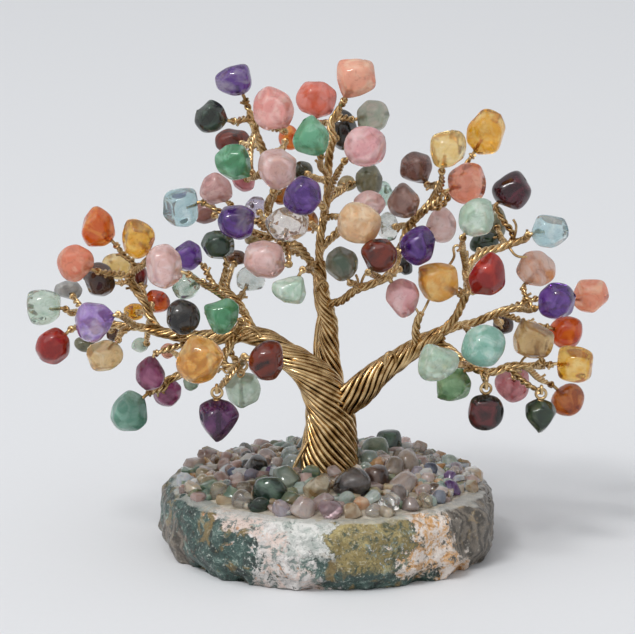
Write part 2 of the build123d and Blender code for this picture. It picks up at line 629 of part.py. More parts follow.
def settle(stones):
    """Stones that cross each other or a wire in the front view move apart in depth until all are clear."""
    rules = crossings(stones)
    for _ in range(SETTLE_STEPS):
        moves = [0] * len(stones)
        for index, other, depth, share, need in rules:
            ahead = stones[index].depth - depth - (share * stones[other].depth if share else 0)
            shift = math.copysign(max(0, need - abs(ahead)), ahead)
            moves[index] += shift
            if share == 1:
                moves[other] -= shift
        for stone, move in zip(stones, moves):
            stone.depth += move * SETTLE_SHARE
        if max(abs(move) for move in moves) * PIXEL < SETTLED_WITHIN:
            break


STONES = []
for carrier, rows in BEAD_PIXELS_AND_DEPTH_SHARES.items():
    STONES += [Stone(kind, carrier, *rest) for kind, *rest in rows]
for drop, carrier, *picture, eye_row in DROP_PIXELS_AND_DEPTH_SHARES:
    STONES.append(Stone(drop, carrier, *picture, None, eye_row))
settle(STONES)

# Beads and their twigs


def bore_way(stone):
    """The way out of a stone along its bore, to where the wire goes in."""
    return (real(stone.way_in()) - real(stone.view())).normalized()


def half_size(stone):
    """Half the mean of a stone's width and height."""
    return stone.half * pixel_at(real(stone.view()))


def tumbled_stone(stone):
    """A tumbled stone: its front outline, narrowed to the front and back, with a bore right through."""
    centre = real(stone.view())
    pixel = pixel_at(centre)
    turn = math.radians(stone.turn - 90)
    outline = []
    for x, z in FORM_SHARES[stone.form]:
        across = x * math.cos(turn) - z * math.sin(turn)
        upward = x * math.sin(turn) + z * math.cos(turn)
        outline.append((across * stone.width * pixel, upward * stone.height * pixel))
    thickness = 2 * half_size(stone) * BEAD_THICKNESS_SHARE
    way = bore_way(stone)
    reach = 2 * half_size(stone)
    layers = []
    for depth_share, size_share in BEAD_LAYER_SHARES:
        middle = centre + BACK * (thickness * depth_share)
        layers.append([middle + (RIGHT * x + UP * z) * size_share for x, z in outline])
    with BuildPart() as bead:
        add(faceted(layers, True))
        with BuildSketch(Plane(origin=centre - way * reach, x_dir=any_square(way), z_dir=way)):
            RegularPolygon(BORE_WIRE_RADIUS + BORE_GAP, CORE_SIDES, major_radius=False)
        extrude(amount=2 * reach, mode=Mode.SUBTRACT)
    return bead.part


def twig(stone):
    """A twig from its branch to a bead, thinned to one wire that goes into the bore."""
    entry = real(stone.way_in())
    tip = real(stone.view()) + bore_way(stone) * half_size(stone) * (1 - 2 * BORE_DEPTH_SHARE)
    start = leave(stone.parent, stone.leaves_at, entry, TWIG_RADIUS)
    return wire_bar([start, entry, tip], [TWIG_RADIUS, BORE_WIRE_RADIUS, BORE_WIRE_RADIUS], WIRE_SIDES)


def hook(stone):
    """A twig that ends in a pin pointing away from its branch, its end turned up, for a drop to hang on."""
    pin = real(stone.way_in())
    outward = BACK * math.copysign(PIN_REACH, stone.depth - stone.root.Z)
    start = leave(stone.parent, stone.leaves_at, pin - outward, TWIG_RADIUS)
    points = [start, pin - outward, pin + outward, pin + outward + UP * PIN_TURN_UP]
    return wire_bar(points, [TWIG_RADIUS, PIN_RADIUS, PIN_RADIUS, PIN_RADIUS], WIRE_SIDES)


def eye_link(stone):
    """The wire of a drop: an eye that hangs on the pin and a stem down into the stone's bore."""
    ring = real(stone.way_in()) - UP * EYE_DROP
    stem_top = ring - UP * (EYE_HOLE_RADIUS + EYE_OUTER_RADIUS) / 2
    stem_end = real(stone.view()) - UP * half_size(stone) * (2 * BORE_DEPTH_SHARE - 1)
    with BuildPart() as link:
        with BuildSketch(Plane(origin=ring, x_dir=RIGHT, z_dir=-BACK)):
            RegularPolygon(EYE_OUTER_RADIUS, EYE_SIDES)
            RegularPolygon(EYE_HOLE_RADIUS, EYE_SIDES, mode=Mode.SUBTRACT)
        extrude(amount=EYE_THICKNESS / 2, both=True)
        with BuildSketch(Plane(origin=stem_end, x_dir=RIGHT, z_dir=UP)):
            RegularPolygon(BORE_WIRE_RADIUS, CORE_SIDES)
        extrude(amount=stem_top.Z - stem_end.Z)
    return link.part


# Slab, glue bed and chips


def slab_outline(scale_share):
    """The slab's outline at a level."""
    half_width, half_depth = BASE_WIDTH / 2 * scale_share, BASE_DEPTH / 2 * scale_share
    return [(x * half_width, y * half_depth) for x, y in BASE_OUTLINE_SHARES]


def bed_height(x, y):
    """The height of the glue bed's slope at a place, above the underside."""
    out = math.hypot((x - ROOT.X) / (BED_WIDTH / 2), (y - ROOT.Y) / (BED_DEPTH / 2))
    top_share = BED_TOP_RADIUS / (BED_WIDTH / 2)
    return BASE_THICKNESS + BED_HEIGHT * min(1, max(0, (1 - out) / (1 - top_share)))


def chip_spot(column, row, width):
    """Where the line of sight through a chip meets the bed's slope, with half the chip's width."""
    low, high = -1.0, 1.0
    for _ in range(SIGHT_STEPS):
        middle = (low + high) / 2
        spot = place(column, row, middle)
        tall = width * pixel_at(spot) * CHIP_HEIGHT_SHARE / 2
        if spot.Z > bed_height(spot.X, spot.Y) + tall:
            low = middle
        else:
            high = middle
    return [spot.X, spot.Y, width * pixel_at(spot) / 2]


def spread(spots):
    """Chips that touch move apart over the bed, kept off the trunk and inside the bed's rim."""
    trunk = ROOT_RING_RADIUS + TRUNK_STRAND_RADIUS + SOCKET_GAP
    for _ in range(CHIP_SETTLE_STEPS):
        for index, spot in enumerate(spots):
            for other in spots[:index]:
                away = (spot[0] - other[0], spot[1] - other[1])
                apart = math.hypot(*away)
                lack = spot[2] + other[2] + CHIP_GAP - apart
                if lack > 0:
                    for axis in (0, 1):
                        spot[axis] += away[axis] / apart * lack / 2
                        other[axis] -= away[axis] / apart * lack / 2
            out = math.hypot(spot[0] - ROOT.X, spot[1] - ROOT.Y)
            near, far = trunk + spot[2] + CHIP_GAP, BED_DEPTH / 2 - spot[2]
            held = min(far, max(near, out))
            for axis, middle in ((0, ROOT.X), (1, ROOT.Y)):
                spot[axis] = middle + (spot[axis] - middle) * held / out
    return spots


def fill_heap(spots, kinds):
    """Small chips go into the gaps that are left, tried along a spiral out from the trunk."""
    trunk = ROOT_RING_RADIUS + TRUNK_STRAND_RADIUS + SOCKET_GAP
    half = FILL_CHIP_WIDTH / 2
    near, far = trunk + half + CHIP_GAP, BED_DEPTH / 2 - half
    minerals = list(CHIP_PIXELS)
    for index in range(FILL_TRIES):
        out = math.sqrt(near * near + (far * far - near * near) * index / FILL_TRIES)
        angle = 2 * math.pi * index * GOLDEN_SHARE
        x, y = ROOT.X + out * math.cos(angle), ROOT.Y + out * math.sin(angle)
        if all(math.hypot(x - other[0], y - other[1]) > half + other[2] + CHIP_GAP for other in spots):
            spots.append([x, y, half])
            kinds.append(minerals[len(spots) % len(minerals)])


def gem_chip(x, y, half, index):
    """A chip with a flat foot on the bed's slope, six uneven sides and a smaller top."""
    away = math.atan2(y - ROOT.Y, x - ROOT.X)
    step = CHIP_GAP
    fall = (bed_height(x, y) - bed_height(x + step * math.cos(away), y + step * math.sin(away))) / step
    normal = (UP + (RIGHT * math.cos(away) + BACK * math.sin(away)) * fall).normalized()
    foot = Plane(origin=(x, y, bed_height(x, y) + WIRE_GAP), x_dir=any_square(normal), z_dir=normal)
    outline = []
    for corner in range(CHIP_SIDES):
        angle = 2 * math.pi * (corner / CHIP_SIDES + index * GOLDEN_SHARE)
        radius = half * (1 - CHIP_UNEVEN_SHARE * abs(math.sin(CHIP_SIDES * index + corner * corner)))
        outline.append((radius * math.cos(angle), radius * math.sin(angle)))
    top = foot.offset(2 * half * CHIP_HEIGHT_SHARE)
    lower = [foot.from_local_coords(Vector(u, v)) for u, v in outline]
    upper = [top.from_local_coords(Vector(u, v) * CHIP_TOP_SHARE) for u, v in outline]
    return faceted([lower, upper], True)


os.makedirs("parts", exist_ok=True)


def write_group(name, solids):
    """Write pieces that share a node, each as a separate solid."""
    with BuildPart() as group:
        add(solids)
    group.part.label = name
    export_step(group.part, f"parts/{name}.step")


with BuildPart() as stone_base:
    for height_share, outline_share in BASE_LEVEL_SHARES:
        with BuildSketch(Plane.XY.offset(BASE_THICKNESS * height_share)):
            Polygon(*slab_outline(outline_share), align=None)
    loft(ruled=True)
    with BuildSketch(Plane.XY.offset(SOCKET_FLOOR)):
        with Locations((ROOT.X, ROOT.Y)):
            RegularPolygon(ROOT_RING_RADIUS + TRUNK_STRAND_RADIUS + SOCKET_GAP, BED_SIDES, major_radius=False)
    extrude(amount=SOCKET_DEPTH, mode=Mode.SUBTRACT)
stone_base.part.label = "stone_base"
export_step(stone_base.part, "parts/stone_base.step")

BED_LEVELS = []
for height, half_width in ((0, BED_WIDTH / 2), (BED_HEIGHT, BED_TOP_RADIUS)):
    middle = Vector(ROOT.X, ROOT.Y, BASE_THICKNESS + height)
    corners = [2 * math.pi * (corner + 1 / 2) / BED_SIDES for corner in range(BED_SIDES)]
    ellipse = [RIGHT * math.cos(a) + BACK * (math.sin(a) * BED_DEPTH / BED_WIDTH) for a in corners]
    BED_LEVELS.append([middle + spoke * half_width for spoke in ellipse])
with BuildPart() as glue_bed:
    add(faceted(BED_LEVELS, True))
    with BuildSketch(Plane.XY.offset(BASE_THICKNESS)):
        with Locations((ROOT.X, ROOT.Y)):
            RegularPolygon(ROOT_RING_RADIUS + TRUNK_STRAND_RADIUS + SOCKET_GAP, BED_SIDES, major_radius=False)
    extrude(amount=BED_HEIGHT, mode=Mode.SUBTRACT)
glue_bed.part.label = "glue_bed"
export_step(glue_bed.part, "parts/glue_bed.step")

# The heap goes on round the back as it does in front, with every second chip half a turn round
CHIP_ROWS = [(kind, *row) for kind, rows in CHIP_PIXELS.items() for row in rows]
CHIP_SPOTS = [chip_spot(*row[1:]) for row in CHIP_ROWS]
CHIP_KINDS = [row[0] for row in CHIP_ROWS]
for kind, (x, y, half) in list(zip(CHIP_KINDS, CHIP_SPOTS))[::2]:
    CHIP_KINDS.append(kind)
    CHIP_SPOTS.append([2 * ROOT.X - x, 2 * ROOT.Y - y, half])
spread(CHIP_SPOTS)
fill_heap(CHIP_SPOTS, CHIP_KINDS)
for kind in CHIP_PIXELS:
    rows = [(index, spot) for index, spot in enumerate(CHIP_SPOTS) if CHIP_KINDS[index] == kind]
    write_group(kind, [gem_chip(*spot, index) for index, spot in rows])

TRUNK_CORE_RADIUS = TRUNK_RING_RADIUS - TRUNK_STRAND_RADIUS - CORE_GAP
write_group("trunk_core_wires", [wire_bar([ROOT, FORK], [TRUNK_CORE_RADIUS] * 2, BED_SIDES)])
for limb in LIMB_PIXELS_AND_DEPTH_SHARES:
    write_group(f"{limb}_limb_core", [limb_core(limb)])
    write_group(f"{limb}_limb_strands", [strand(limb, index) for index in range(STRANDS_PER_LIMB)])

DROP_NAMES = [row[0] for row in DROP_PIXELS_AND_DEPTH_SHARES]
TWIGS = {name: [] for name in ROUTES}
for stone in STONES:
    TWIGS[stone.parent].append(hook(stone) if stone.kind in DROP_NAMES else twig(stone))
for name in BRANCH_PIXELS_AND_DEPTH_SHARES:
    route = ROUTES[name]
    radii = [BRANCH_RADIUS] * (len(route) - 1) + [BRANCH_TIP_RADIUS]
    write_group(f"{name}_branch", [wire_bar(route, radii, CORE_SIDES), *TWIGS[name]])
for limb in LIMB_PIXELS_AND_DEPTH_SHARES:
    if TWIGS[limb]:
        write_group(f"{limb}_limb_twigs", TWIGS[limb])

for stone in STONES:
    if stone.kind in DROP_NAMES:
        write_group(stone.kind, [tumbled_stone(stone)])
        write_group(f"{stone.kind}_wire", [eye_link(stone)])
for kind in sorted({stone.kind for stone in STONES} - set(DROP_NAMES)):
    write_group(f"{kind}_beads", [tumbled_stone(stone) for stone in STONES if stone.kind == kind])
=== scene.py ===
# %% [markdown]
# # A gemstone tree, dressed around its CAD model
# The ornament is a small tree: tumbled, drilled gem beads on twigs of twisted brass wire, a trunk of laid
# wires that parts into three limbs, and a slab of moss marble under a heap of gem chips. The CAD model
# fixes where every piece sits. This lesson replaces its plain solids with wire, stone and polish.

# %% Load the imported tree
import json
import math
import random

import bmesh
import bpy
from mathutils import Euler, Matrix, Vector, noise


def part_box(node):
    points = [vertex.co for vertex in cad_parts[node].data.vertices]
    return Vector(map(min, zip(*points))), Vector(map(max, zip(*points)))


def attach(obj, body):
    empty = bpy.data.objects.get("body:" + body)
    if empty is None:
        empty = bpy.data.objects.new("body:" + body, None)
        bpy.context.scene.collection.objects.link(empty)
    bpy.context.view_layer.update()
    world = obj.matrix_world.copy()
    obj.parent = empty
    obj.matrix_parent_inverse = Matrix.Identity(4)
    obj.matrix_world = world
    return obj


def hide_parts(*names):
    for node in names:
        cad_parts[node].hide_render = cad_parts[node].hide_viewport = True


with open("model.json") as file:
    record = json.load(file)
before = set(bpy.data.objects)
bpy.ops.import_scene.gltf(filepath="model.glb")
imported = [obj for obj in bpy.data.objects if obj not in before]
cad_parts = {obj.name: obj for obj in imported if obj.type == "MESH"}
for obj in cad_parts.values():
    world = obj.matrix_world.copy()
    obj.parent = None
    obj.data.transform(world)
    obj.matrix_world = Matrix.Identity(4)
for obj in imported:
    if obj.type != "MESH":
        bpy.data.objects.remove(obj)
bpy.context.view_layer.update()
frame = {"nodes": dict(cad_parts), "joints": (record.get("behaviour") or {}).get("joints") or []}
MM = 0.001
# Noise vectors start from the clock unless a seed is set, and the tree has to come out the same each run.
NOISE_SEED = 1
noise.seed_set(NOISE_SEED)

# %% [markdown]
# ## The picture's view
# The crown was laid out on the columns and rows of one front view, so the same view comes first: a long lens,
# 800 mm away and 12.5 degrees above the table. `place` turns a column, a row and a depth into a point of the
# tree, and `seen` goes the other way. Every listed detail below uses the two.

# %% Camera at the picture's angle
PICTURE_WIDTH = 635
MIDDLE_COLUMN, MIDDLE_ROW = 317.5, 317
AXIS_COLUMN, FOOT_ROW = 327.5, 483
SLAB_THICKNESS = 19 * MM
CROWN_WIDTH, CROWN_COLUMNS = 164 * MM, 585
CROWN_DEPTH = 90 * MM
VIEW_DISTANCE = 800 * MM
TILT = math.radians(12.5)
SENSOR = 36
PIXEL = CROWN_WIDTH / CROWN_COLUMNS
FOCAL_PIXELS = VIEW_DISTANCE / PIXEL
RIGHT, BACK, UP = Vector((1, 0, 0)), Vector((0, 1, 0)), Vector((0, 0, 1))
LOOK = BACK * math.cos(TILT) - UP * math.sin(TILT)
RISE = BACK * math.sin(TILT) + UP * math.cos(TILT)
AIM_HEIGHT = SLAB_THICKNESS + (FOOT_ROW - MIDDLE_ROW) * PIXEL / math.cos(TILT)
AIM = RIGHT * ((MIDDLE_COLUMN - AXIS_COLUMN) * PIXEL) + UP * AIM_HEIGHT
EYE = AIM - LOOK * VIEW_DISTANCE
scene = bpy.context.scene

camera_data = bpy.data.cameras.new("picture_view")
camera_data.sensor_width = SENSOR
camera_data.lens = FOCAL_PIXELS * SENSOR / PICTURE_WIDTH
camera = bpy.data.objects.new("picture_view", camera_data)
camera.location = EYE
camera.rotation_euler = (math.pi / 2 - TILT, 0, 0)
scene.collection.objects.link(camera)
scene.camera = camera


def place(column, row, depth_share):
    """The point seen at a column and row, a share of the crown's depth behind the trunk."""
    across = RIGHT * ((column - MIDDLE_COLUMN) / FOCAL_PIXELS)
    sight = LOOK + across + RISE * ((MIDDLE_ROW - row) / FOCAL_PIXELS)
    return EYE + sight * ((depth_share * CROWN_DEPTH - EYE.y) / sight.y)


def seen(point):
    """The column and row at which the picture shows a point."""
    sight = point - EYE
    scale = FOCAL_PIXELS / sight.dot(LOOK)
    return MIDDLE_COLUMN + sight.dot(RIGHT) * scale, MIDDLE_ROW - sight.dot(RISE) * scale


print("lens in mm:", round(camera_data.lens, 1), "eye in mm:", [round(x / MM) for x in EYE])

# %% [markdown]
# ## Two small helpers for finishes
# Colours are written as the sRGB hex codes that a colour picker shows, and shaders want linear light, so
# one function converts them. A second adds a node, sets its options and feeds its sockets.

# %% Colour and node helpers


def linear(code):
    """An sRGB hex colour as linear red, green, blue and alpha."""
    parts = [int(code[start:start + 2], 16) / 255 for start in (1, 3, 5)]
    return (*[part / 12.92 if part <= 0.04045 else ((part + 0.055) / 1.055) ** 2.4 for part in parts], 1.0)


def add_node(tree, kind, settings, inputs):
    """A shader node with its settings; an input is linked if it is a socket and set if it is a value."""
    made = tree.nodes.new(kind)
    for name, value in settings.items():
        setattr(made, name, value)
    for socket, value in inputs.items():
        if isinstance(value, bpy.types.NodeSocket):
            tree.links.new(value, made.inputs[socket])
        else:
            made.inputs[socket].default_value = value
    return made


def new_finish(name):
    """A material with its node tree, its surface shader and the coordinates of the object."""
    finish = bpy.data.materials.new(name)
    finish.use_nodes = True
    tree = finish.node_tree
    spots = add_node(tree, "ShaderNodeTexCoord", {}, {}).outputs["Object"]
    return finish, tree, tree.nodes["Principled BSDF"], spots


print("brass as linear light:", [round(part, 3) for part in linear("#B58A4C")])

# %% [markdown]
# ## Table and light
# The ornament stands on a plain pale grey sheet under soft daylight. A sun with a very wide disc gives
# the soft shadow without a bright pool on the sheet, the sky fills in from all round, and one lamp, far
# off so that it lights the sheet evenly, puts the window-like glint on each polished bead.

# %% Pale sheet, sky and lamps
SHEET_SIZE = 8.0
SHEET_COLOUR, FIBRE_COLOUR = "#DCDDDF", "#DADBDD"
SKY_LIGHT, SKY_SHOWN = 0.6, 0.9
SUN_LIGHT, SUN_DISC = 1.0, math.radians(70)
GLINT_POWER = 50.0

sheet_shape = bmesh.new()
bmesh.ops.create_grid(sheet_shape, x_segments=1, y_segments=1, size=SHEET_SIZE / 2)
sheet_mesh = bpy.data.meshes.new("pale_sheet")
sheet_shape.to_mesh(sheet_mesh)
sheet_shape.free()
sheet = bpy.data.objects.new("pale_sheet", sheet_mesh)
scene.collection.objects.link(sheet)

# Matt paper: no shine, with a fibre pattern too faint to read as texture.
FIBRE = 2 * MM
paper, tree, surface, spots = new_finish("matt_paper")
fibres = add_node(tree, "ShaderNodeTexNoise", {}, {"Vector": spots, "Scale": 1 / FIBRE, "Detail": 2.0})
toned = add_node(tree, "ShaderNodeMix", {"data_type": "RGBA"},
                 {0: fibres.outputs["Fac"], 6: linear(FIBRE_COLOUR), 7: linear(SHEET_COLOUR)})
tree.links.new(toned.outputs[2], surface.inputs["Base Color"])
surface.inputs["Roughness"].default_value = 0.9
surface.inputs["Specular IOR Level"].default_value = 0.2
sheet_mesh.materials.append(paper)

sky = bpy.data.worlds.new("soft_daylight")
sky.use_nodes = True
tree = sky.node_tree
rays = add_node(tree, "ShaderNodeLightPath", {}, {})
shown = add_node(tree, "ShaderNodeMath", {"operation": "ADD"},
                 {0: rays.outputs["Is Camera Ray"], 1: rays.outputs["Is Glossy Ray"]})
shown = add_node(tree, "ShaderNodeMath", {"operation": "ADD", "use_clamp": True},
                 {0: shown.outputs[0], 1: rays.outputs["Is Transmission Ray"]})
strength = add_node(tree, "ShaderNodeMapRange", {},
                    {"Value": shown.outputs[0], "To Min": SKY_LIGHT, "To Max": SKY_SHOWN})
tree.nodes["Background"].inputs["Color"].default_value = linear("#F1F3F6")
tree.links.new(strength.outputs[0], tree.nodes["Background"].inputs["Strength"])
scene.world = sky
scene.view_settings.view_transform = "Standard"

LAMPS = (
    ("soft_sun", "SUN", Vector((-0.5, -0.55, 1.1)), {"energy": SUN_LIGHT, "angle": SUN_DISC}),
    ("glint_window", "AREA", Vector((-1.26, -1.86, 2.85)),
     {"energy": GLINT_POWER, "shape": "RECTANGLE", "size": 1.2, "size_y": 0.45}),
)
for name, kind, spot, settings in LAMPS:
    lamp_data = bpy.data.lights.new(name, kind)
    for setting, value in settings.items():
        setattr(lamp_data, setting, value)
    lamp = bpy.data.objects.new(name, lamp_data)
    lamp.location = spot
    lamp.rotation_euler = (AIM - spot).to_track_quat("-Z", "Y").to_euler()
    scene.collection.objects.link(lamp)
print("lamps:", [row[0] for row in LAMPS])

# %% [markdown]
# ## Brass wire
# The wire is drawn brass that has aged a little: golden where it catches light, brown where hands and air
# have dulled it. Drawing leaves fine lengthwise scratches, so the gloss is broken and a little uneven.

# %% Aged brass finishes
TARNISH = 3.5 * MM
SCRATCH, SCRATCH_DEPTH = 0.25 * MM, 0.05 * MM
DULL_LESS, DULL_MORE = 0.08, 0.12


def aged_brass(name, bright, dull, roughness):
    """Drawn brass: tarnish in soft patches and a fine scratch that breaks the gloss."""
    finish, tree, surface, spots = new_finish(name)
    patches = add_node(tree, "ShaderNodeTexNoise", {}, {"Vector": spots, "Scale": 1 / TARNISH, "Detail": 4.0})
    share = add_node(tree, "ShaderNodeMapRange", {},
                     {"Value": patches.outputs["Fac"], "From Min": 0.38, "From Max": 0.66})
    mixed = add_node(tree, "ShaderNodeMix", {"data_type": "RGBA"},
                     {0: share.outputs[0], 6: linear(bright), 7: linear(dull)})
    scratch = add_node(tree, "ShaderNodeTexNoise", {}, {"Vector": spots, "Scale": 1 / SCRATCH, "Detail": 2.0})
    uneven = add_node(tree, "ShaderNodeMapRange", {},
                      {"Value": scratch.outputs["Fac"], "To Min": roughness - DULL_LESS,
                       "To Max": roughness + DULL_MORE})
    bumps = add_node(tree, "ShaderNodeBump", {},
                     {"Height": scratch.outputs["Fac"], "Strength": 0.12, "Distance": SCRATCH_DEPTH})
    tree.links.new(mixed.outputs[2], surface.inputs["Base Color"])
    tree.links.new(uneven.outputs[0], surface.inputs["Roughness"])
    tree.links.new(bumps.outputs[0], surface.inputs["Normal"])
    surface.inputs["Metallic"].default_value = 1.0
    return finish


BRASS = aged_brass("aged_brass_wire", "#D8BB8C", "#8E6D40", 0.22)
# The wires inside the trunk and limbs are dark brass as painted shade, so the gaps between the laid wires read
# as shade.
PAINTED_SHADE_BRASS = aged_brass("dark_core_brass", "#4A3318", "#241809", 0.5)
trunk_core = frame["nodes"]["trunk_core_wires"]
trunk_core.data.materials.clear()
trunk_core.data.materials.append(PAINTED_SHADE_BRASS)
print("brass finishes:", BRASS.name, PAINTED_SHADE_BRASS.name)

# %% [markdown]
# ## Wire as a swept line
# A bent wire has no corners. A Bezier curve with automatic handles goes smoothly through a few places, and
# Blender reads points back from it. Laid wires are then turned round such a line, and each gets its round
# section from the bevel of a curve, which is turned into a mesh so that it can ride on its body.

# %% Lines, bundles and wire pieces
LINE_STEP = 0.8 * MM
CURVE_STEPS, WIRE_ROUNDNESS = 16, 2
WIRE_CREASE = math.radians(60)


def spaced(points, step):
    """Points a step apart along a line of points, with its end."""
    found, carried = [points[0]], 0.0
    for start, end in zip(points, points[1:]):
        length = (end - start).length
        while carried + length >= step:
            start = start + (end - start) * ((step - carried) / length)
            length = (end - start).length
            carried = 0.0
            found.append(start)
        carried += length
    if carried > step / 2:
        found.append(points[-1])
    return found


def smooth_line(places, step=LINE_STEP):
    """Evenly spaced points on a smooth curve through a few places."""
    data = bpy.data.curves.new("line", "CURVE")
    data.dimensions = "3D"
    data.resolution_u = CURVE_STEPS
    spline = data.splines.new("BEZIER")
    spline.bezier_points.add(len(places) - 1)
    for knot, spot in zip(spline.bezier_points, places):
        knot.co = spot
        knot.handle_left_type = knot.handle_right_type = "AUTO"
    holder = bpy.data.objects.new("line", data)
    mesh = bpy.data.meshes.new_from_object(holder)
    found = [vertex.co.copy() for vertex in mesh.vertices]
    bpy.data.objects.remove(holder)
    bpy.data.curves.remove(data)
    bpy.data.meshes.remove(mesh)
    return spaced(found, step)


def with_sides(line, side):
    """Each point of a line with its direction and a side that turns as little as possible."""
    rows = []
    for index, point in enumerate(line):
        way = (line[min(index + 1, len(line) - 1)] - line[max(index - 1, 0)]).normalized()
        side = side - way * side.dot(way)
        side = (side if side.length > 0.001 else way.orthogonal()).normalized()
        rows.append((point, way, side))
    return rows


def around(point, way, side, angle, reach):
    """The point at an angle and a reach round a line's point."""
    return point + (side * math.cos(angle) + way.cross(side) * math.sin(angle)) * reach


def twisted(line, count, ring, radius, pitch, closing):
    """Runs of wires twisted round a line to the left; closing brings the ring in over the last third."""
    runs = []
    rows = with_sides(line, BACK)
    step = (line[1] - line[0]).length
    for wire in range(count):
        points = []
        for index, (point, way, side) in enumerate(rows):
            angle = 2 * math.pi * (wire / count - index * step / pitch)
            share = 1 - closing * max(0.0, index / max(1, len(rows) - 1) * 3 - 2)
            points.append(around(point, way, side, angle, ring * share))
        runs.append((points, [radius] * len(points)))
    return runs


def wire_mesh(name, runs):
    """Round wires along runs of points, as one mesh."""
    data = bpy.data.curves.new(name, "CURVE")
    data.dimensions = "3D"
    data.bevel_depth = MM
    data.bevel_resolution = WIRE_ROUNDNESS
    data.use_fill_caps = True
    for points, radii in runs:
        spline = data.splines.new("POLY")
        spline.points.add(len(points) - 1)
        for knot, point, radius in zip(spline.points, points, radii):
            knot.co = (*point, 1.0)
            knot.radius = radius / MM
    holder = bpy.data.objects.new(name, data)
    mesh = bpy.data.meshes.new_from_object(holder)
    bpy.data.objects.remove(holder)
    bpy.data.curves.remove(data)
    mesh.name = name
    mesh.shade_smooth()
    mesh.set_sharp_from_angle(angle=WIRE_CREASE)
    return mesh


def add_piece(name, mesh, finish, body, slot, *nodes):
    """A finished piece: it gets its finish, rides on its body and stands for its CAD nodes."""
    mesh.materials.clear()
    mesh.materials.append(finish)
    piece = bpy.data.objects.new(name, mesh)
    scene.collection.objects.link(piece)
    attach(piece, body)
    if nodes:
        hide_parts(*nodes)
    print(f"{name}: {len(mesh.polygons)} faces on {body}")
    return piece


# %% [markdown]
# ## Trunk and limbs
# Wires stand in the slab's socket and wind up the trunk to the left. The outer ring leans over into the left
# limb; the wires of the other two limbs stand inside it and come out behind it at the fork. As a limb thins,
# one wire after another sinks into it, where branches have taken them. The axes repeat the CAD routes.

# %% Laid wires of the trunk and limbs
LIMB_WIRES = {"left": 23, "centre": 12, "right": 13}
TRUNK_WIRE_RADIUS, LIMB_WIRE_RADIUS = 0.68 * MM, 0.56 * MM
TRUNK_RING, ROOT_RING, INNER_RING = 6.5 * MM, 8.4 * MM, 4.6 * MM
ROOT_LEAN = 1.0 * MM
TRUNK_LAY, LIMB_LAY = math.radians(39), math.radians(28)
EASING = 11 * MM
SINK, SUNK_SHARE, KEPT_WIRES = 6 * MM, 0.75, 5
SOCKET_DEPTH = 8 * MM
UNEVEN, UNEVEN_RUN, SWAY = 0.45 * MM, 10 * MM, 1.1
HEART_START, HEART_INSET, HEART_LEAST = -6 * MM, 1.2 * TRUNK_WIRE_RADIUS, 0.3 * MM
FORK = place(331, 418, 0)
ROOT = Vector((FORK.x, FORK.y, SLAB_THICKNESS - SOCKET_DEPTH + 1 * MM))
LIMB_ROUTES = {
    "left": ((327, 398, -0.01), (307, 370, -0.03), (287, 355, -0.03), (270, 342, -0.02), (252, 335, -0.01),
             (225, 336, 0.0), (200, 337, 0.0), (175, 335, 0.0), (150, 329, 0.0)),
    "centre": ((330, 390, 0.03), (328, 365, 0.05), (328, 345, 0.05), (328, 325, 0.04), (325, 308, 0.02),
               (321, 292, 0.0), (320, 278, 0.0), (319, 262, 0.0)),
    "right": ((336, 408, -0.01), (357, 393, -0.03), (377, 375, -0.03), (397, 360, -0.03), (413, 350, -0.02),
              (428, 340, -0.02), (442, 333, -0.02)),
}
# How far past the fork, and the radius of the limb's ring of wires there, both in mm
LIMB_RINGS = {
    "left": ((0, 6.5), (6, 6.0), (12, 4.9), (18, 3.9), (24, 3.2), (38, 1.9), (64, 1.0)),
    "centre": ((0, 4.2), (10, 3.5), (19, 2.7), (38, 1.65), (50, 1.2)),
    "right": ((0, 4.4), (8, 4.0), (14, 3.6), (22, 2.8), (31, 2.2), (44, 1.2)),
}
GOLDEN = 0.381966


def ramp(value, start, end):
    """How far a value is from start to end, as a smooth share from 0 to 1."""
    share = min(1, max(0, (value - start) / (end - start)))
    return share * share * (3 - 2 * share)


def limb_ring(name, past):
    """The radius of a limb's ring of wires at a distance past the fork."""
    rows = LIMB_RINGS[name]
    for (start, ring), (end, next_ring) in zip(rows, rows[1:]):
        if past / MM < end:
            return (ring + (next_ring - ring) * max(0, past / MM - start) / (end - start)) * MM
    return rows[-1][1] * MM


def limb_rows(name):
    """Points up the trunk and along a limb: place, direction, side, distance past the fork, ring and turn."""
    count = round((FORK.z - ROOT.z) / LINE_STEP)
    rows = []
    for index in range(count):
        past = (FORK.z - ROOT.z) * (index / count - 1)
        flare = 1 - ramp(past, SLAB_THICKNESS - FORK.z, 0)
        ring = TRUNK_RING + (ROOT_RING - TRUNK_RING) * flare if name == "left" else INNER_RING
        middle = FORK + UP * past - RIGHT * (ROOT_LEAN * flare)
        rows.append((middle, UP, RIGHT, past, ring, math.tan(TRUNK_LAY) / TRUNK_RING * past))
    turn = 0.0
    for index, (point, way, side) in enumerate(with_sides(LINES[name], RIGHT)):
        past = index * LINE_STEP
        ring = limb_ring(name, past)
        rows.append((point, way, side, past, ring, turn))
        lay = TRUNK_LAY + (LIMB_LAY - TRUNK_LAY) * ramp(past, 0, EASING)
        turn += math.tan(lay) / ring * LINE_STEP
    return rows


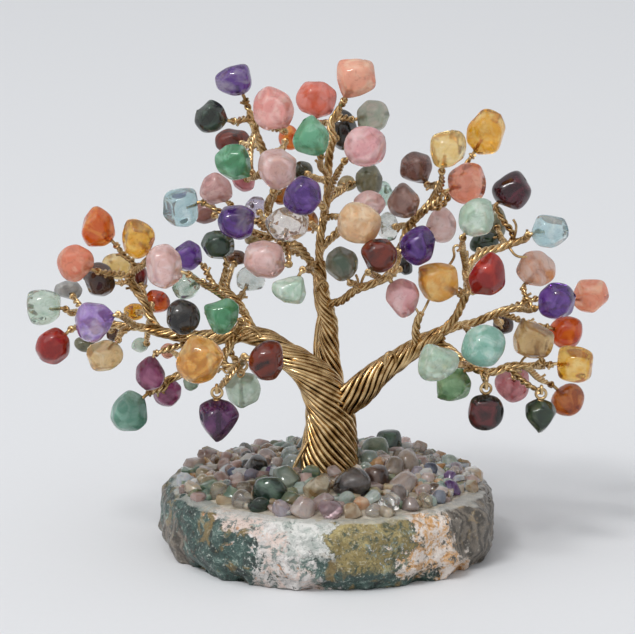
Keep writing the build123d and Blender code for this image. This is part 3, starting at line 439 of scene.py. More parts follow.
def laid_wire(name, seat):
    """One wire from the socket up the trunk and out along a limb, uneven as hand-laid wire is."""
    rows = limb_rows(name)
    rank = round((seat * GOLDEN) % 1 * LIMB_WIRES[name])
    thinnest = LIMB_WIRE_RADIUS / math.sin(math.pi / max(rank, 3))
    ends = [row[3] for row in rows if row[3] > EASING and row[4] < thinnest and rank > KEPT_WIRES]
    end = ends[0] if ends else rows[-1][3]
    points, radii = [], []
    for point, way, side, past, ring, turn in rows:
        if past > end + SINK:
            break
        run = past / UNEVEN_RUN
        waver = UNEVEN * noise.noise(Vector((seat * 3.1 + len(name) * 10, run, 0.3)))
        sway = UNEVEN * noise.noise(Vector((seat * 5.7, run, len(name) * 10)))
        angle = 2 * math.pi * seat / LIMB_WIRES[name] - turn + SWAY * sway / ring
        sunk = SUNK_SHARE * ring * ramp(past, end, end + SINK) if end < rows[-1][3] else 0
        points.append(around(point, way, side, angle, ring - sunk + waver))
        radii.append(TRUNK_WIRE_RADIUS + (LIMB_WIRE_RADIUS - TRUNK_WIRE_RADIUS) * ramp(past, 0, 2 * EASING))
    return points, radii


LINES = {}
for limb, route in LIMB_ROUTES.items():
    below = FORK - UP * 10 * MM
    line = smooth_line([below, FORK, *[place(*spot) for spot in route]])
    LINES[limb] = line[min(range(len(line)), key=lambda index: (line[index] - FORK).length):]

# Loose wires that stand off the bundles, as columns, rows and depth shares
LOOSE_WIRES = {
    "left": (((308, 441, -0.04), (303, 450, -0.05), (298, 459, -0.055), (293, 470, -0.06)),
             ((264, 342, -0.035), (256, 330, -0.045), (246, 327, -0.045), (238, 333, -0.03),
              (230, 337, -0.02))),
    "centre": (((322, 385, 0.02), (317, 368, 0.01), (315, 352, 0.01), (316, 336, 0.01), (318, 322, 0.01),
                (322, 308, 0.01)),
               ((318, 292, -0.012), (318, 285, -0.034), (323, 281, -0.036), (327, 285, -0.034),
                (325, 292, -0.012))),
    "right": (((384, 364, -0.07), (387, 354, -0.075), (393, 353, -0.07), (396, 362, -0.065)),),
}
for limb in LIMB_ROUTES:
    runs = [laid_wire(limb, seat) for seat in range(LIMB_WIRES[limb])]
    for route in LOOSE_WIRES[limb]:
        points = smooth_line([place(*spot) for spot in route])
        runs.append((points, [LIMB_WIRE_RADIUS] * len(points)))
    add_piece(f"{limb}_limb_wires", wire_mesh(f"{limb}_limb_wires", runs), BRASS, "tree", "brass_wire",
              f"{limb}_limb_strands")
    # Each limb's heart is a dark wire, painted shade in the gaps between its laid wires.
    heart = [row for row in limb_rows(limb) if row[3] > HEART_START]
    run = ([row[0] for row in heart], [max(HEART_LEAST, row[4] - HEART_INSET) for row in heart])
    add_piece(f"{limb}_limb_painted_shade_heart", wire_mesh(f"{limb}_limb_painted_shade_heart", [run]), PAINTED_SHADE_BRASS, "tree", "brass_wire",
              f"{limb}_limb_core")

# %% [markdown]
# ## Reading the beads' places
# The beads were settled in depth by the CAD source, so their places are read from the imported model. A CAD
# node's mesh is loose triangles: a copy is merged, walked into separate solids, and sorted by place so that
# the order never depends on how a file was written. A bead's bore shows as long edges that turn inward.

# %% Solids, bores and twig runs of the CAD nodes
MERGE = 0.002 * MM
RING_EDGE = 1.3 * MM
BORE_TURN, PARALLEL = math.radians(25), 0.998


def solids_of(name):
    """A merged copy of a CAD node, and its separate solids as lists of vertices, sorted by place."""
    whole = bmesh.new()
    whole.from_mesh(frame["nodes"][name].data)
    bmesh.ops.remove_doubles(whole, verts=whole.verts, dist=MERGE)
    whole.verts.index_update()
    whole.normal_update()
    known, found = set(), []
    for first in whole.verts:
        if first.index not in known:
            known.add(first.index)
            grown = [first]
            for vert in grown:
                for edge in vert.link_edges:
                    other = edge.other_vert(vert)
                    if other.index not in known:
                        known.add(other.index)
                        grown.append(other)
            found.append(grown)
    found.sort(key=lambda verts: sum(vert.co.x for vert in verts) / len(verts))
    return whole, found


def mean_point(points):
    """The middle of some points."""
    return sum(points, Vector()) / len(points)


def box_of(points):
    """The lowest and highest corner of some points."""
    return (Vector([min(point[axis] for point in points) for axis in range(3)]),
            Vector([max(point[axis] for point in points) for axis in range(3)]))


def bore_of(verts):
    """The middle and direction of a bead's bore, from its parallel edges that turn inward."""
    edges = {edge.index: edge for vert in verts for edge in vert.link_edges}
    inward = [edge for _, edge in sorted(edges.items())
              if edge.is_manifold and edge.calc_face_angle_signed() < -BORE_TURN]
    ways = [(edge.verts[1].co - edge.verts[0].co).normalized() for edge in inward]
    counts = [sum(abs(way.dot(other)) > PARALLEL for other in ways) for way in ways]
    way = ways[counts.index(max(counts))]
    bore = [edge for edge, other in zip(inward, ways) if abs(way.dot(other)) > PARALLEL]
    return mean_point([vert.co for edge in bore for vert in edge.verts]), way


def rings_of(verts):
    """The middles of the rings of vertices along a bar, in order from one end, with their sizes."""
    groups, known = [], set()
    for first in verts:
        if first.index not in known:
            known.add(first.index)
            ring = [first]
            for vert in ring:
                for edge in vert.link_edges:
                    other = edge.other_vert(vert)
                    if other.index not in known and edge.calc_length() < RING_EDGE:
                        known.add(other.index)
                        ring.append(other)
            groups.append(ring)
    middles = [mean_point([vert.co for vert in ring]) for ring in groups]
    sizes = [max((vert.co - middle).length for vert in ring) for ring, middle in zip(groups, middles)]
    return middles, sizes


WIRE_NODES = [name for name in sorted(frame["nodes"])
              if name.endswith("_branch") or name == "left_limb_twigs"]
TWIG_VERTICES, HOOK_VERTICES = 15, 20
TWIG_RUNS, HOOK_RUNS = [], []
for name in WIRE_NODES:
    whole, found = solids_of(name)
    for verts in found:
        if len(verts) in (TWIG_VERTICES, HOOK_VERTICES):
            middles, sizes = rings_of(verts)
            start = sizes.index(max(sizes))
            rest = [middle for index, middle in enumerate(middles) if index != start]
            rest.sort(key=lambda middle: (middle - middles[start]).length)
            if len(verts) == TWIG_VERTICES and len(middles) == 3:
                TWIG_RUNS.append((name, [middles[start], *rest]))
            if len(verts) == HOOK_VERTICES and len(middles) == 4:
                HOOK_RUNS.append((name, [middles[start], *rest]))
    whole.free()
print("twigs read:", len(TWIG_RUNS), "hooks read:", len(HOOK_RUNS))

# %% [markdown]
# ## Branch routes and twig runs
# A branch leaves its limb along the limb, as wire peels off a bundle; its route repeats the CAD table. A
# twig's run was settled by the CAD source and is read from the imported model: where it starts, where its wire
# goes into the bead and where it ends. Where CAD twigs have grown together, the nearest wire stands in.

# %% Branch routes and twig runs
BRANCH_ROUTES = {
    "left_rise": ("left", ((248, 320, 0.02), (243, 310, 0.03), (233, 297, 0.03), (216, 288, 0.03),
                           (204, 285, 0.03))),
    "left_tip": ("left", ((138, 327, 0.0), (122, 326, 0.02), (108, 323, 0.04), (92, 317, 0.05),
                          (77, 312, 0.05))),
    "left_upper": ("left", ((152, 320, 0.04), (145, 303, 0.05), (136, 290, 0.05), (131, 278, 0.05),
                            (137, 264, 0.06))),
    "left_low": ("left", ((207, 352, 0.02), (190, 369, 0.02), (175, 377, 0.0), (162, 383, 0.0),
                          (151, 391, 0.0))),
    "left_hanger": ("left", ((227, 350, -0.06), (224, 364, -0.10), (234, 367, -0.12), (245, 360, -0.14))),
    "centre_up": ("centre", ((320, 240, 0.0), (323, 222, 0.0), (326, 204, 0.0), (328, 186, 0.0),
                             (327, 166, 0.0))),
    "centre_left": ("centre", ((307, 257, -0.04), (298, 246, -0.07), (284, 241, -0.08), (272, 230, -0.08),
                               (258, 222, -0.08))),
    "crown_left": ("centre_left", ((268, 210, -0.04), (274, 190, 0.0), (270, 170, 0.02), (263, 150, 0.02),
                                   (255, 130, 0.0), (249, 110, 0.0))),
    "crown_top": ("centre_up", ((330, 150, -0.01), (333, 138, -0.02), (331, 125, -0.02), (340, 108, -0.02))),
    "centre_right": ("centre", ((343, 300, -0.04), (356, 290, -0.07), (372, 284, -0.08), (386, 277, -0.08),
                                (398, 265, -0.07))),
    "crown_right": ("centre_right", ((402, 245, -0.04), (409, 226, -0.02), (421, 213, 0.0), (433, 199, 0.0),
                                     (440, 182, 0.0))),
    "right_rise": ("right", ((454, 319, -0.03), (461, 306, -0.04), (467, 290, -0.05), (466, 270, -0.05),
                             (465, 250, -0.05))),
    "right_arm": ("right_rise", ((482, 253, -0.02), (499, 248, 0.0), (513, 243, 0.0), (526, 239, 0.0))),
    "right_tip": ("right", ((458, 326, 0.0), (476, 322, 0.01), (492, 315, 0.01), (510, 309, 0.0),
                            (530, 309, 0.0))),
    "right_low": ("right", ((447, 347, -0.01), (460, 358, -0.05), (474, 368, -0.07), (492, 372, -0.07),
                            (510, 366, -0.05), (529, 366, -0.05), (545, 366, -0.05))),
    "right_spur": ("right", ((416, 330, -0.06), (417, 323, -0.07), (421, 313, -0.08))),
}
PEEL, OWN_TWIG = 4 * MM, 0.75
ENTRY_SHARE, TIP_SHARE = 1.2, 0.44


def nearest_on(line, point):
    """The index of a line's point that is nearest to a point."""
    return min(range(len(line)), key=lambda index: (line[index] - point).length)


for name, (parent, route) in BRANCH_ROUTES.items():
    spots = [place(*spot) for spot in route]
    joined = nearest_on(LINES[parent], spots[0])
    back = max(0, joined - round(PEEL / LINE_STEP))
    LINES[name] = smooth_line([LINES[parent][max(0, back - 3)], LINES[parent][back], *spots])


def twig_path(middle, way, half):
    """The branch, start, mouth and end of the wire that carries a bead with a bore."""
    name, run = min(TWIG_RUNS, key=lambda row: (row[1][2] - middle).length)
    if (run[2] - middle).length < OWN_TWIG * half:
        parent = "left" if name == "left_limb_twigs" else name.removesuffix("_branch")
        return (parent, *run)
    ends = [(line_name, side, min((point - middle - way * side * half).length for point in LINES[line_name]))
            for line_name in LINES for side in (-1, 1) if line_name not in ("centre", "right")]
    parent, side, _ = min(ends, key=lambda row: row[2])
    mouth = middle + way * (side * half * ENTRY_SHARE)
    line = LINES[parent]
    return parent, line[nearest_on(line, mouth)], mouth, middle - way * (side * half * TIP_SHARE)


print("lines:", {name: round(len(line) * LINE_STEP / MM) for name, line in LINES.items()})

# %% [markdown]
# ## Colours of the minerals
# Each mineral has a usual pair of colours, a body tint and a second one for its clouds or flecks. Some
# beads are a paler, deeper or mixed variety. Those are listed with the place where the picture shows them.

# %% Minerals, their clearness and varieties
CLEARNESS = {
    "amazonite": 0.35, "amethyst": 0.65, "aquamarine": 0.85, "aventurine": 0.5, "carnelian": 0.7,
    "citrine": 0.8, "clear_quartz": 0.9, "garnet": 0.5, "honey_calcite": 0.65, "mahogany_obsidian": 0.35,
    "moss_agate": 0.35, "obsidian": 0.15, "olive_jasper": 0.5, "pale_jade": 0.55, "peach_moonstone": 0.5,
    "red_jasper": 0.15, "rhodonite": 0.6, "rose_quartz": 0.55, "smoky_quartz": 0.65, "strawberry_quartz": 0.55,
    "bloodstone_drop": 0.1, "jade_drop": 0.6, "moss_drop": 0.35, "plum_drop": 0.6,
    "dark_chips": 0.4, "green_chips": 0.65, "clear_chips": 0.85, "pink_chips": 0.7, "tan_chips": 0.55,
    "lilac_chips": 0.65,
}
VARIETIES = {
    "amazonite": (("#8FC0B0", "#C6E0D6", ()), ("#5E9480", "#9CC6B4", ((129, 411),))),
    "amethyst": (("#54287F", "#8A62B4", ()), ("#A37FC6", "#D8C8E6", ((95, 322),)),
                 ("#5F2F8E", "#A396AC", ((235, 79), (236, 222)))),
    "aquamarine": (("#B4D0D4", "#E6F0F0", ()), ("#D0DACE", "#86A890", ((186, 286),)),
                   ("#B8D8C8", "#E0EEE6", ((382, 194),))),
    "aventurine": (("#4E9668", "#90C8A6", ()), ("#70B68E", "#AEDCC2", ((311, 135),))),
    "carnelian": (("#D86018", "#F4A850", ()), ("#E89478", "#F4C2A8", ((468, 183),)),
                  ("#EC9878", "#F8CCAC", ((591, 297),)), ("#C84812", "#EC8030", ((156, 301), (565, 333))),
                  ("#A8501C", "#D8843C", ((568, 399),))),
    "citrine": (("#E8A828", "#F8D88C", ()), ("#F0CC7C", "#FAEABC", ((448, 149), (117, 267)))),
    "clear_quartz": (("#E8E8E4", "#C4CCC6", ()), ("#D4E0D2", "#A4C0A8", ((44, 307),)),
                     ("#B4AABE", "#D8D0DC", ((255, 208),)), ("#ECE4DE", "#D0C4BC", ((288, 223),))),
    "garnet": (("#38141E", "#6E2436", ()),),
    "honey_calcite": (("#E8AA4C", "#F8D894", ()), ("#E4C48C", "#F4E2BC", ((104, 356),)),
                      ("#DCBC84", "#9A7038", ((532, 339),)),
                      ("#B46C20", "#E0A448", ((280, 194), (308, 221)))),
    "mahogany_obsidian": (("#7A2A14", "#24120E", ()), ("#8A5850", "#B48A80", ((205, 212),))),
    "moss_agate": (("#2C4030", "#587058", ()), ("#20261E", "#44584A", ((212, 116),))),
    "obsidian": (("#181614", "#3C3834", ()),),
    "olive_jasper": (("#747258", "#A09A7C", ()), ("#8A8676", "#50644E", ((342, 264),)),
                     ("#3E3C28", "#6A664A", ((303, 172),)), ("#9C9A96", "#C4C2BC", ((68, 289),)),
                     ("#94AA92", "#BCCCB8", ((191, 383),))),
    "pale_jade": (("#BED6C2", "#E4EEE2", ()), ("#6E9668", "#A0BE94", ((453, 384),)),
                  ("#B0B8A4", "#D4C8BC", ((373, 116),))),
    "peach_moonstone": (("#F0AC90", "#F8D0B4", ()), ("#ECC496", "#F8E0C0", ((358, 222),)),
                        ("#E88E6E", "#F6C0A2", ((76, 263),))),
    "red_jasper": (("#8C140C", "#B43424", ()), ("#641410", "#943428", ((139, 277),))),
    "rhodonite": (("#8A3C66", "#BC7898", ()),),
    "rose_quartz": (("#EAC4BE", "#F6E2DE", ()), ("#E8AEB0", "#F4D2D0", ((366, 148), (402, 297))),
                    ("#CC9894", "#E6C2BC", ((216, 188),)), ("#EACCBE", "#E09050", ((537, 269),))),
    "smoky_quartz": (("#744C42", "#A88478", ()), ("#9A7468", "#C8A498", ((404, 200),)),
                     ("#3C2218", "#704830", ((99, 280), (503, 324))),
                     ("#542C10", "#8C5C30", ((236, 258), (113, 334))),
                     ("#AA9260", "#D2BC8C", ((257, 240), (347, 184)))),
    "strawberry_quartz": (("#EC9A8C", "#DC5A2C", ()), ("#EEA8A0", "#F8D0C8", ((272, 109),)),
                          ("#C8787E", "#E4A8A8", ((243, 181), (513, 384)))),
    "bloodstone_drop": (("#1C1A18", "#64282A", ()),),
    "jade_drop": (("#C6D8C6", "#E6EEE2", ()),),
    "moss_drop": (("#2C3C2C", "#54644A", ()),),
    "plum_drop": (("#4C2050", "#844A7C", ()),),
}
NEAR_PIXELS = 12


def variety(mineral, centre):
    """The tint and fleck of a bead: its mineral's usual pair, or that of the variety listed at its place."""
    column, row = seen(centre)
    for tint, fleck, places in VARIETIES[mineral][1:]:
        if any(math.hypot(column - x, row - y) < NEAR_PIXELS for x, y in places):
            return tint, fleck
    return VARIETIES[mineral][0][:2]


print("minerals:", len(VARIETIES), "varieties:", sum(len(rows) for rows in VARIETIES.values()))

# %% [markdown]
# ## Polished gem finish
# Tumbling polishes a stone to a wet-looking gloss. Quartz and its kin bend light a little more than glass
# and hold clouds and veils, so the body colour wanders between two tints and much of the light passes.
# Jaspers and obsidian let almost none through. Each bead carries its tints as attributes of its mesh.

# %% Gem materials
QUARTZ_IOR = 1.54
POLISH = 0.04
CLOUD = 6 * MM
VEIL = 2.2 * MM
RIPPLE, RIPPLE_DEPTH = 2.5 * MM, 0.15 * MM
GEM_DEPTH = 2.5 * MM


def polished_gem(mineral, clearness):
    """A tumbled gem: clouds of its two tints, darker veils, a soft inner glow and a high polish."""
    finish, tree, surface, spots = new_finish(f"polished_{mineral}")
    tint = add_node(tree, "ShaderNodeAttribute", {"attribute_name": "tint"}, {}).outputs["Color"]
    fleck = add_node(tree, "ShaderNodeAttribute", {"attribute_name": "fleck"}, {}).outputs["Color"]
    clouds = add_node(tree, "ShaderNodeTexNoise", {},
                      {"Vector": spots, "Scale": 1 / CLOUD, "Detail": 3.0, "Distortion": 1.2})
    share = add_node(tree, "ShaderNodeMapRange", {},
                     {"Value": clouds.outputs["Fac"], "From Min": 0.46, "From Max": 0.66})
    body = add_node(tree, "ShaderNodeMix", {"data_type": "RGBA"}, {0: share.outputs[0], 6: tint, 7: fleck})
    veils = add_node(tree, "ShaderNodeTexNoise", {},
                     {"Vector": spots, "Scale": 1 / VEIL, "Detail": 4.0, "Distortion": 2.0})
    shade = add_node(tree, "ShaderNodeMapRange", {},
                     {"Value": veils.outputs["Fac"], "From Min": 0.3, "From Max": 0.46, "To Min": 0.78})
    colour = add_node(tree, "ShaderNodeMix", {"data_type": "RGBA", "blend_type": "MULTIPLY"},
                      {0: 1.0, 6: body.outputs[2], 7: shade.outputs[0]})
    ripple = add_node(tree, "ShaderNodeTexNoise", {}, {"Vector": spots, "Scale": 1 / RIPPLE, "Detail": 1.0})
    bumps = add_node(tree, "ShaderNodeBump", {},
                     {"Height": ripple.outputs["Fac"], "Strength": 0.08, "Distance": RIPPLE_DEPTH})
    tree.links.new(colour.outputs[2], surface.inputs["Base Color"])
    tree.links.new(bumps.outputs[0], surface.inputs["Normal"])
    surface.inputs["Roughness"].default_value = POLISH
    surface.inputs["IOR"].default_value = QUARTZ_IOR
    surface.inputs["Transmission Weight"].default_value = clearness
    surface.inputs["Subsurface Weight"].default_value = 0.6
    surface.inputs["Subsurface Radius"].default_value = (1.0, 0.8, 0.6)
    surface.inputs["Subsurface Scale"].default_value = GEM_DEPTH
    return finish


GEM_FINISH = {mineral: polished_gem(mineral, clearness) for mineral, clearness in CLEARNESS.items()}
print("gem finishes:", len(GEM_FINISH))

# %% [markdown]
# ## Tumbled shapes
# A tumbled stone starts as a broken lump with flat faces, and hours in the barrel round its edges. The
# mesh goes the same way: the hull of the CAD solid's corners, nudged a little, its edges bevelled, then
# subdivided and rubbed smooth. It is fitted to the CAD solid's box, so it stays where the bead belongs. A
# bore is sunk by opening the skin at one vertex, rounding that rim and extruding it to a closed floor.

# %% Tumbling helpers
NUDGE_SHARE, NUDGE_SIZE = 0.1, 3 * MM
LUMP_SHARE, LUMP_SIZE, LUMP_SEED = 0.09, 0.7, 7.3
RUB = 0.5
FLAT, STONE_CREASE = math.radians(12), math.radians(48)
BORE_RADIUS = 0.66 * MM


def lump(group, corners, colours, wear, number):
    """Add the bevelled hull of some corners to a group of stones, marked with its colours and number."""
    low, high = box_of(corners)
    size = (high - low).length / 2
    stone = bmesh.new()
    for corner in corners:
        nudge = noise.noise_vector(corner / NUDGE_SIZE + Vector((number, 0, 0)))
        stone.verts.new(corner + nudge * (size * NUDGE_SHARE))
    bmesh.ops.convex_hull(stone, input=stone.verts[:])
    bmesh.ops.delete(stone, geom=[vert for vert in stone.verts if not vert.link_faces], context="VERTS")
    bmesh.ops.dissolve_limit(stone, angle_limit=FLAT, verts=stone.verts, edges=stone.edges)
    bmesh.ops.bevel(stone, geom=stone.edges[:], offset=size * wear, affect="EDGES", segments=1, profile=0.5,
                    material=-1, clamp_overlap=True)
    bmesh.ops.recalc_face_normals(stone, faces=stone.faces)
    mark(stone, colours, number)
    join(group, stone)
    return low, high


def join(group, shape):
    """Add a shape to a group of shapes and free it."""
    mesh = bpy.data.meshes.new("joined")
    shape.to_mesh(mesh)
    shape.free()
    group.from_mesh(mesh)
    bpy.data.meshes.remove(mesh)


def mark(shape, colours, number):
    """Give every vertex of a shape its stone's number and its two colours."""
    layers = [shape.verts.layers.float_color.new(name) for name in ("tint", "fleck")]
    count = shape.verts.layers.float.new("stone")
    for vert in shape.verts:
        vert[count] = number
        for layer, colour in zip(layers, colours):
            vert[layer] = linear(colour)


def finished_mesh(data, steps):
    """A mesh with modifiers applied, read from a helper object."""
    helper = bpy.data.objects.new("helper", data)
    scene.collection.objects.link(helper)
    for kind, settings in steps:
        step = helper.modifiers.new(kind.title(), kind)
        for setting, value in settings.items():
            setattr(step, setting, value)
    bpy.context.view_layer.update()
    graph = bpy.context.evaluated_depsgraph_get()
    made = bpy.data.meshes.new_from_object(helper.evaluated_get(graph), preserve_all_data_layers=True,
                                           depsgraph=graph)
    bpy.data.objects.remove(helper)
    bpy.data.meshes.remove(data)
    return made


def off_axis(point, end, way):
    """How far a point lies off a bore's axis, as a vector."""
    return point - end - way * (point - end).dot(way)


def bored(shape, verts, mouth, end):
    """Sink a blind bore into a stone where its axis comes out, from the stone's skin to the bore's end."""
    way = (mouth - end).normalized()
    outer = [vert for vert in verts if vert.is_valid and (vert.co - end).dot(way) > 0]
    top = min(outer, key=lambda vert: off_axis(vert.co, end, way).length)
    rim = [edge for face in top.link_faces for edge in face.edges if top not in edge.verts]
    bmesh.ops.delete(shape, geom=[top], context="VERTS")
    for vert in {vert for edge in rim for vert in edge.verts}:
        out = off_axis(vert.co, end, way)
        vert.co += out.normalized() * BORE_RADIUS - out
    walls = bmesh.ops.extrude_edge_only(shape, edges=rim)["geom"]
    for vert in (part for part in walls if isinstance(part, bmesh.types.BMVert)):
        vert.co -= way * (vert.co - end).dot(way)
    foot = [part for part in walls if isinstance(part, bmesh.types.BMEdge) and part.is_boundary]
    floor = bmesh.ops.edgeloop_fill(shape, edges=foot)["faces"]
    for face in [part for part in walls if isinstance(part, bmesh.types.BMFace)] + floor:
        face.normal_update()
        inward = way if face in floor else -off_axis(face.calc_center_median(), end, way)
        if face.normal.dot(inward) < 0:
            face.normal_flip()


def tumbled(name, group, boxes, levels, rubs, bores):
    """The stones of a group rounded by subdivision and rubbing, fitted to their boxes, lumped and bored."""
    rough = bpy.data.meshes.new(name)
    group.to_mesh(rough)
    group.free()
    smooth = finished_mesh(rough, [("SUBSURF", {"levels": levels, "render_levels": levels})])
    shape = bmesh.new()
    shape.from_mesh(smooth)
    bpy.data.meshes.remove(smooth)
    for _ in range(rubs):
        bmesh.ops.smooth_vert(shape, verts=shape.verts, factor=RUB, use_axis_x=True, use_axis_y=True,
                              use_axis_z=True)
    shape.normal_update()
    count = shape.verts.layers.float["stone"]
    members = [[] for _ in boxes]
    for vert in shape.verts:
        members[round(vert[count])].append(vert)
    for number, (verts, (low, high)) in enumerate(zip(members, boxes)):
        now_low, now_high = box_of([vert.co for vert in verts])
        size = (high - low).length / 2
        for vert in verts:
            seed = Vector((number * LUMP_SEED, 0, 0))
            vert.co += vert.normal * (noise.noise(vert.co / (size * LUMP_SIZE) + seed) * size * LUMP_SHARE)
            for axis in range(3):
                share = (vert.co[axis] - now_low[axis]) / (now_high[axis] - now_low[axis])
                vert.co[axis] = low[axis] + share * (high[axis] - low[axis])
        for mouth, end in bores[number]:
            bored(shape, verts, mouth, end)
    made = bpy.data.meshes.new(name)
    shape.to_mesh(made)
    shape.free()
    made.shade_smooth()
    made.set_sharp_from_angle(angle=STONE_CREASE)
    return made


print("tumbling: nudge", NUDGE_SHARE, "lump", LUMP_SHARE)

# %% [markdown]
# ## Beads and drops
# Each mineral's beads are one piece, as they are one CAD node. The drops are made the same way, and ride on
# their own bodies because they swing. The wire's way into each bead is kept for the twigs.

# %% Beads and hanging stones
BEAD_WEAR = 0.24
BEAD_LEVELS, BEAD_RUBS = 2, 13
FACING_AWAY, FAR_BORE, FAR_BORE_SHARE = -0.3, 1.5 * MM, 0.6
WIRE_IN_BEAD, DROP_BORE = 0.55, 0.5
DROPS = ("bloodstone_drop", "jade_drop", "moss_drop", "plum_drop")
TWIG_PATHS = []
for node in sorted(frame["nodes"]):
    if node.endswith("_beads") or node in DROPS:
        mineral = node.removesuffix("_beads")
        whole, found = solids_of(node)
        group, boxes, bores = bmesh.new(), [], []
        for number, verts in enumerate(found):
            corners = [vert.co.copy() for vert in verts]
            low, high = box_of(corners)
            colours = variety(mineral, (low + high) / 2)
            middle, way = bore_of(verts)
            half = (high.x - low.x + high.z - low.z) / 4
            if node in DROPS:
                mouth, end = middle + UP * half, middle - UP * (DROP_BORE * half)
            else:
                parent, start, mouth, end = twig_path(middle, way, half)
                end = mouth + (end - mouth) * WIRE_IN_BEAD
                TWIG_PATHS.append((parent, start, mouth, end))
            far = (end - mouth).normalized()
            boxes.append(lump(group, corners, colours, BEAD_WEAR, number))
            bores.append([(mouth, end)])
            beyond = max((corner - end).dot(far) for corner in corners)
            if far.dot(LOOK) > FACING_AWAY and beyond > FAR_BORE:
                bores[-1].append((end + far * beyond, end + far * (FAR_BORE_SHARE * beyond)))
        whole.free()
        mesh = tumbled(node, group, boxes, BEAD_LEVELS, BEAD_RUBS, bores)
        body = node if node in DROPS else "tree"
        add_piece(f"{mineral}_stone" if node in DROPS else f"{mineral}_gems", mesh, GEM_FINISH[mineral], body,
                  mineral, node)
print("beads:", len(TWIG_PATHS))

# %% [markdown]
# ## Twisted branches, twigs, hooks and loose ends
# A branch is four wires twisted together and a twig is a twisted pair that ends as one wire in a bore, with
# a slight bend so that none looks ruled. The hooks that carry the drops are a twig's own wire with its end
# turned up. A handmade tree also keeps signs of the pliers: cut stubs, a curl or a knot beside a bead.

# %% Branch pieces with their twigs
BRANCH_WIRES, BRANCH_WIRE_RADIUS, BRANCH_RING, BRANCH_PITCH = 4, 0.52 * MM, 0.74 * MM, 9 * MM
BRANCH_CLOSING, TWIG_CLOSING = 0.3, 1.0
TWIG_WIRE_RADIUS, TWIG_RING, TWIG_PITCH, TWIG_STEP = 0.5 * MM, 0.54 * MM, 3.9 * MM, 0.45 * MM
THIN_WIRE = 0.38 * MM
COLLAR_RING, COLLAR_PITCH, COLLAR_LENGTH, COLLAR_STEP = 0.72 * MM, 0.8 * MM, 1.1 * MM, 0.1 * MM
STUB, STUB_LEAN, KNOT_SHARE = 1.9 * MM, 0.4, 0.6
BEND_SHARE, BEND_SIZE = 0.12, 5 * MM
LOOSE_ENDS = {
    "left_rise": (((240, 303, 0.03), (241, 298, 0.02), (246, 287, 0.01)),),
    "left_hanger": (((218, 372, -0.1), (222, 369, -0.115), (227, 373, -0.12), (231, 368, -0.125),
                     (236, 372, -0.13), (240, 367, -0.135), (245, 364, -0.14)),
                    ((237, 370, -0.12), (240, 377, -0.125), (244, 373, -0.12), (241, 368, -0.115))),
    "centre_right": (((357, 289, -0.07), (358, 281, -0.08), (356, 275, -0.09)),
                     ((360, 288, -0.07), (363, 278, -0.08), (368, 270, -0.09))),
    "right_rise": (((466, 258, -0.05), (462, 248, -0.05), (455, 246, -0.05), (454, 257, -0.05),
                    (448, 267, -0.05)),),
    "right_arm": (((508, 244, 0.0), (511, 250, -0.02), (517, 256, -0.03), (527, 257, -0.03)),
                  ((513, 241, 0.0), (516, 230, -0.02), (516, 225, -0.02), (513, 219, -0.02))),
    "right_low": (((479, 369, -0.07), (481, 374, -0.09), (483, 380, -0.1)),
                  ((519, 366, -0.05), (524, 358, -0.07), (530, 354, -0.08))),
    "right_spur": (((420, 316, -0.08), (416, 309, -0.09), (411, 304, -0.1)),
                   ((421, 315, -0.08), (426, 306, -0.09), (430, 297, -0.1))),
}


def bent_twig(name, start, places):
    """A twisted pair from a branch to the first of some places, then one wire through the others."""
    line = LINES[name]
    root = line[max(0, nearest_on(line, start) - 2)]
    bend = noise.noise_vector(places[0] / BEND_SIZE) * ((places[0] - start).length * BEND_SHARE)
    path = smooth_line([root, start, (start + places[0]) / 2 + bend, places[0]], TWIG_STEP)
    single = smooth_line([path[-2], *places], TWIG_STEP)
    pair = twisted(path, 2, TWIG_RING, TWIG_WIRE_RADIUS, TWIG_PITCH, TWIG_CLOSING)
    back = (path[-4] - path[-1]).normalized()
    neck = spaced([path[-1] + back * COLLAR_LENGTH, path[-1]], COLLAR_STEP)
    collar = twisted(neck, 1, COLLAR_RING, THIN_WIRE, COLLAR_PITCH, 0)
    knot = path[round(KNOT_SHARE * len(path))]
    out = back.cross(noise.noise_vector(knot / MM)).normalized()
    stub = [knot, knot + (out - back * STUB_LEAN) * STUB]
    return pair + collar + [(single, [TWIG_WIRE_RADIUS] * len(single)), (stub, [THIN_WIRE] * 2)]


TWIGS = {name: [] for name in LINES}
for parent, start, mouth, end in TWIG_PATHS:
    TWIGS[parent] += bent_twig(parent, start, [mouth, (mouth + end) / 2, end])
for node, (start, pin, far_pin, tip) in HOOK_RUNS:
    name = node.removesuffix("_branch")
    TWIGS[name] += bent_twig(name, start, [pin, (pin + far_pin) / 2, far_pin, tip])
for name in BRANCH_ROUTES:
    runs = twisted(LINES[name], BRANCH_WIRES, BRANCH_RING, BRANCH_WIRE_RADIUS, BRANCH_PITCH, BRANCH_CLOSING)
    runs += TWIGS[name]
    for route in LOOSE_ENDS.get(name, ()):
        points = smooth_line([place(*spot) for spot in route], TWIG_STEP)
        runs.append((points, [THIN_WIRE] * len(points)))
    mesh = wire_mesh(f"{name}_wires", runs)
    add_piece(f"{name}_wires", mesh, BRASS, "tree", "brass_wire", f"{name}_branch")
mesh = wire_mesh("left_limb_twig_wires", TWIGS["left"])
add_piece("left_limb_twig_wires", mesh, BRASS, "tree", "brass_wire", "left_limb_twigs")
print("twig wires:", {name: len(runs) for name, runs in TWIGS.items() if runs})

# %% [markdown]
# ## Eyes of the drops
# A drop hangs by an eye: the wire comes up out of the bore, goes once round the pin and is wound round its
# own neck. The eye rides on the drop's body, because it turns with the stone when the drop swings.

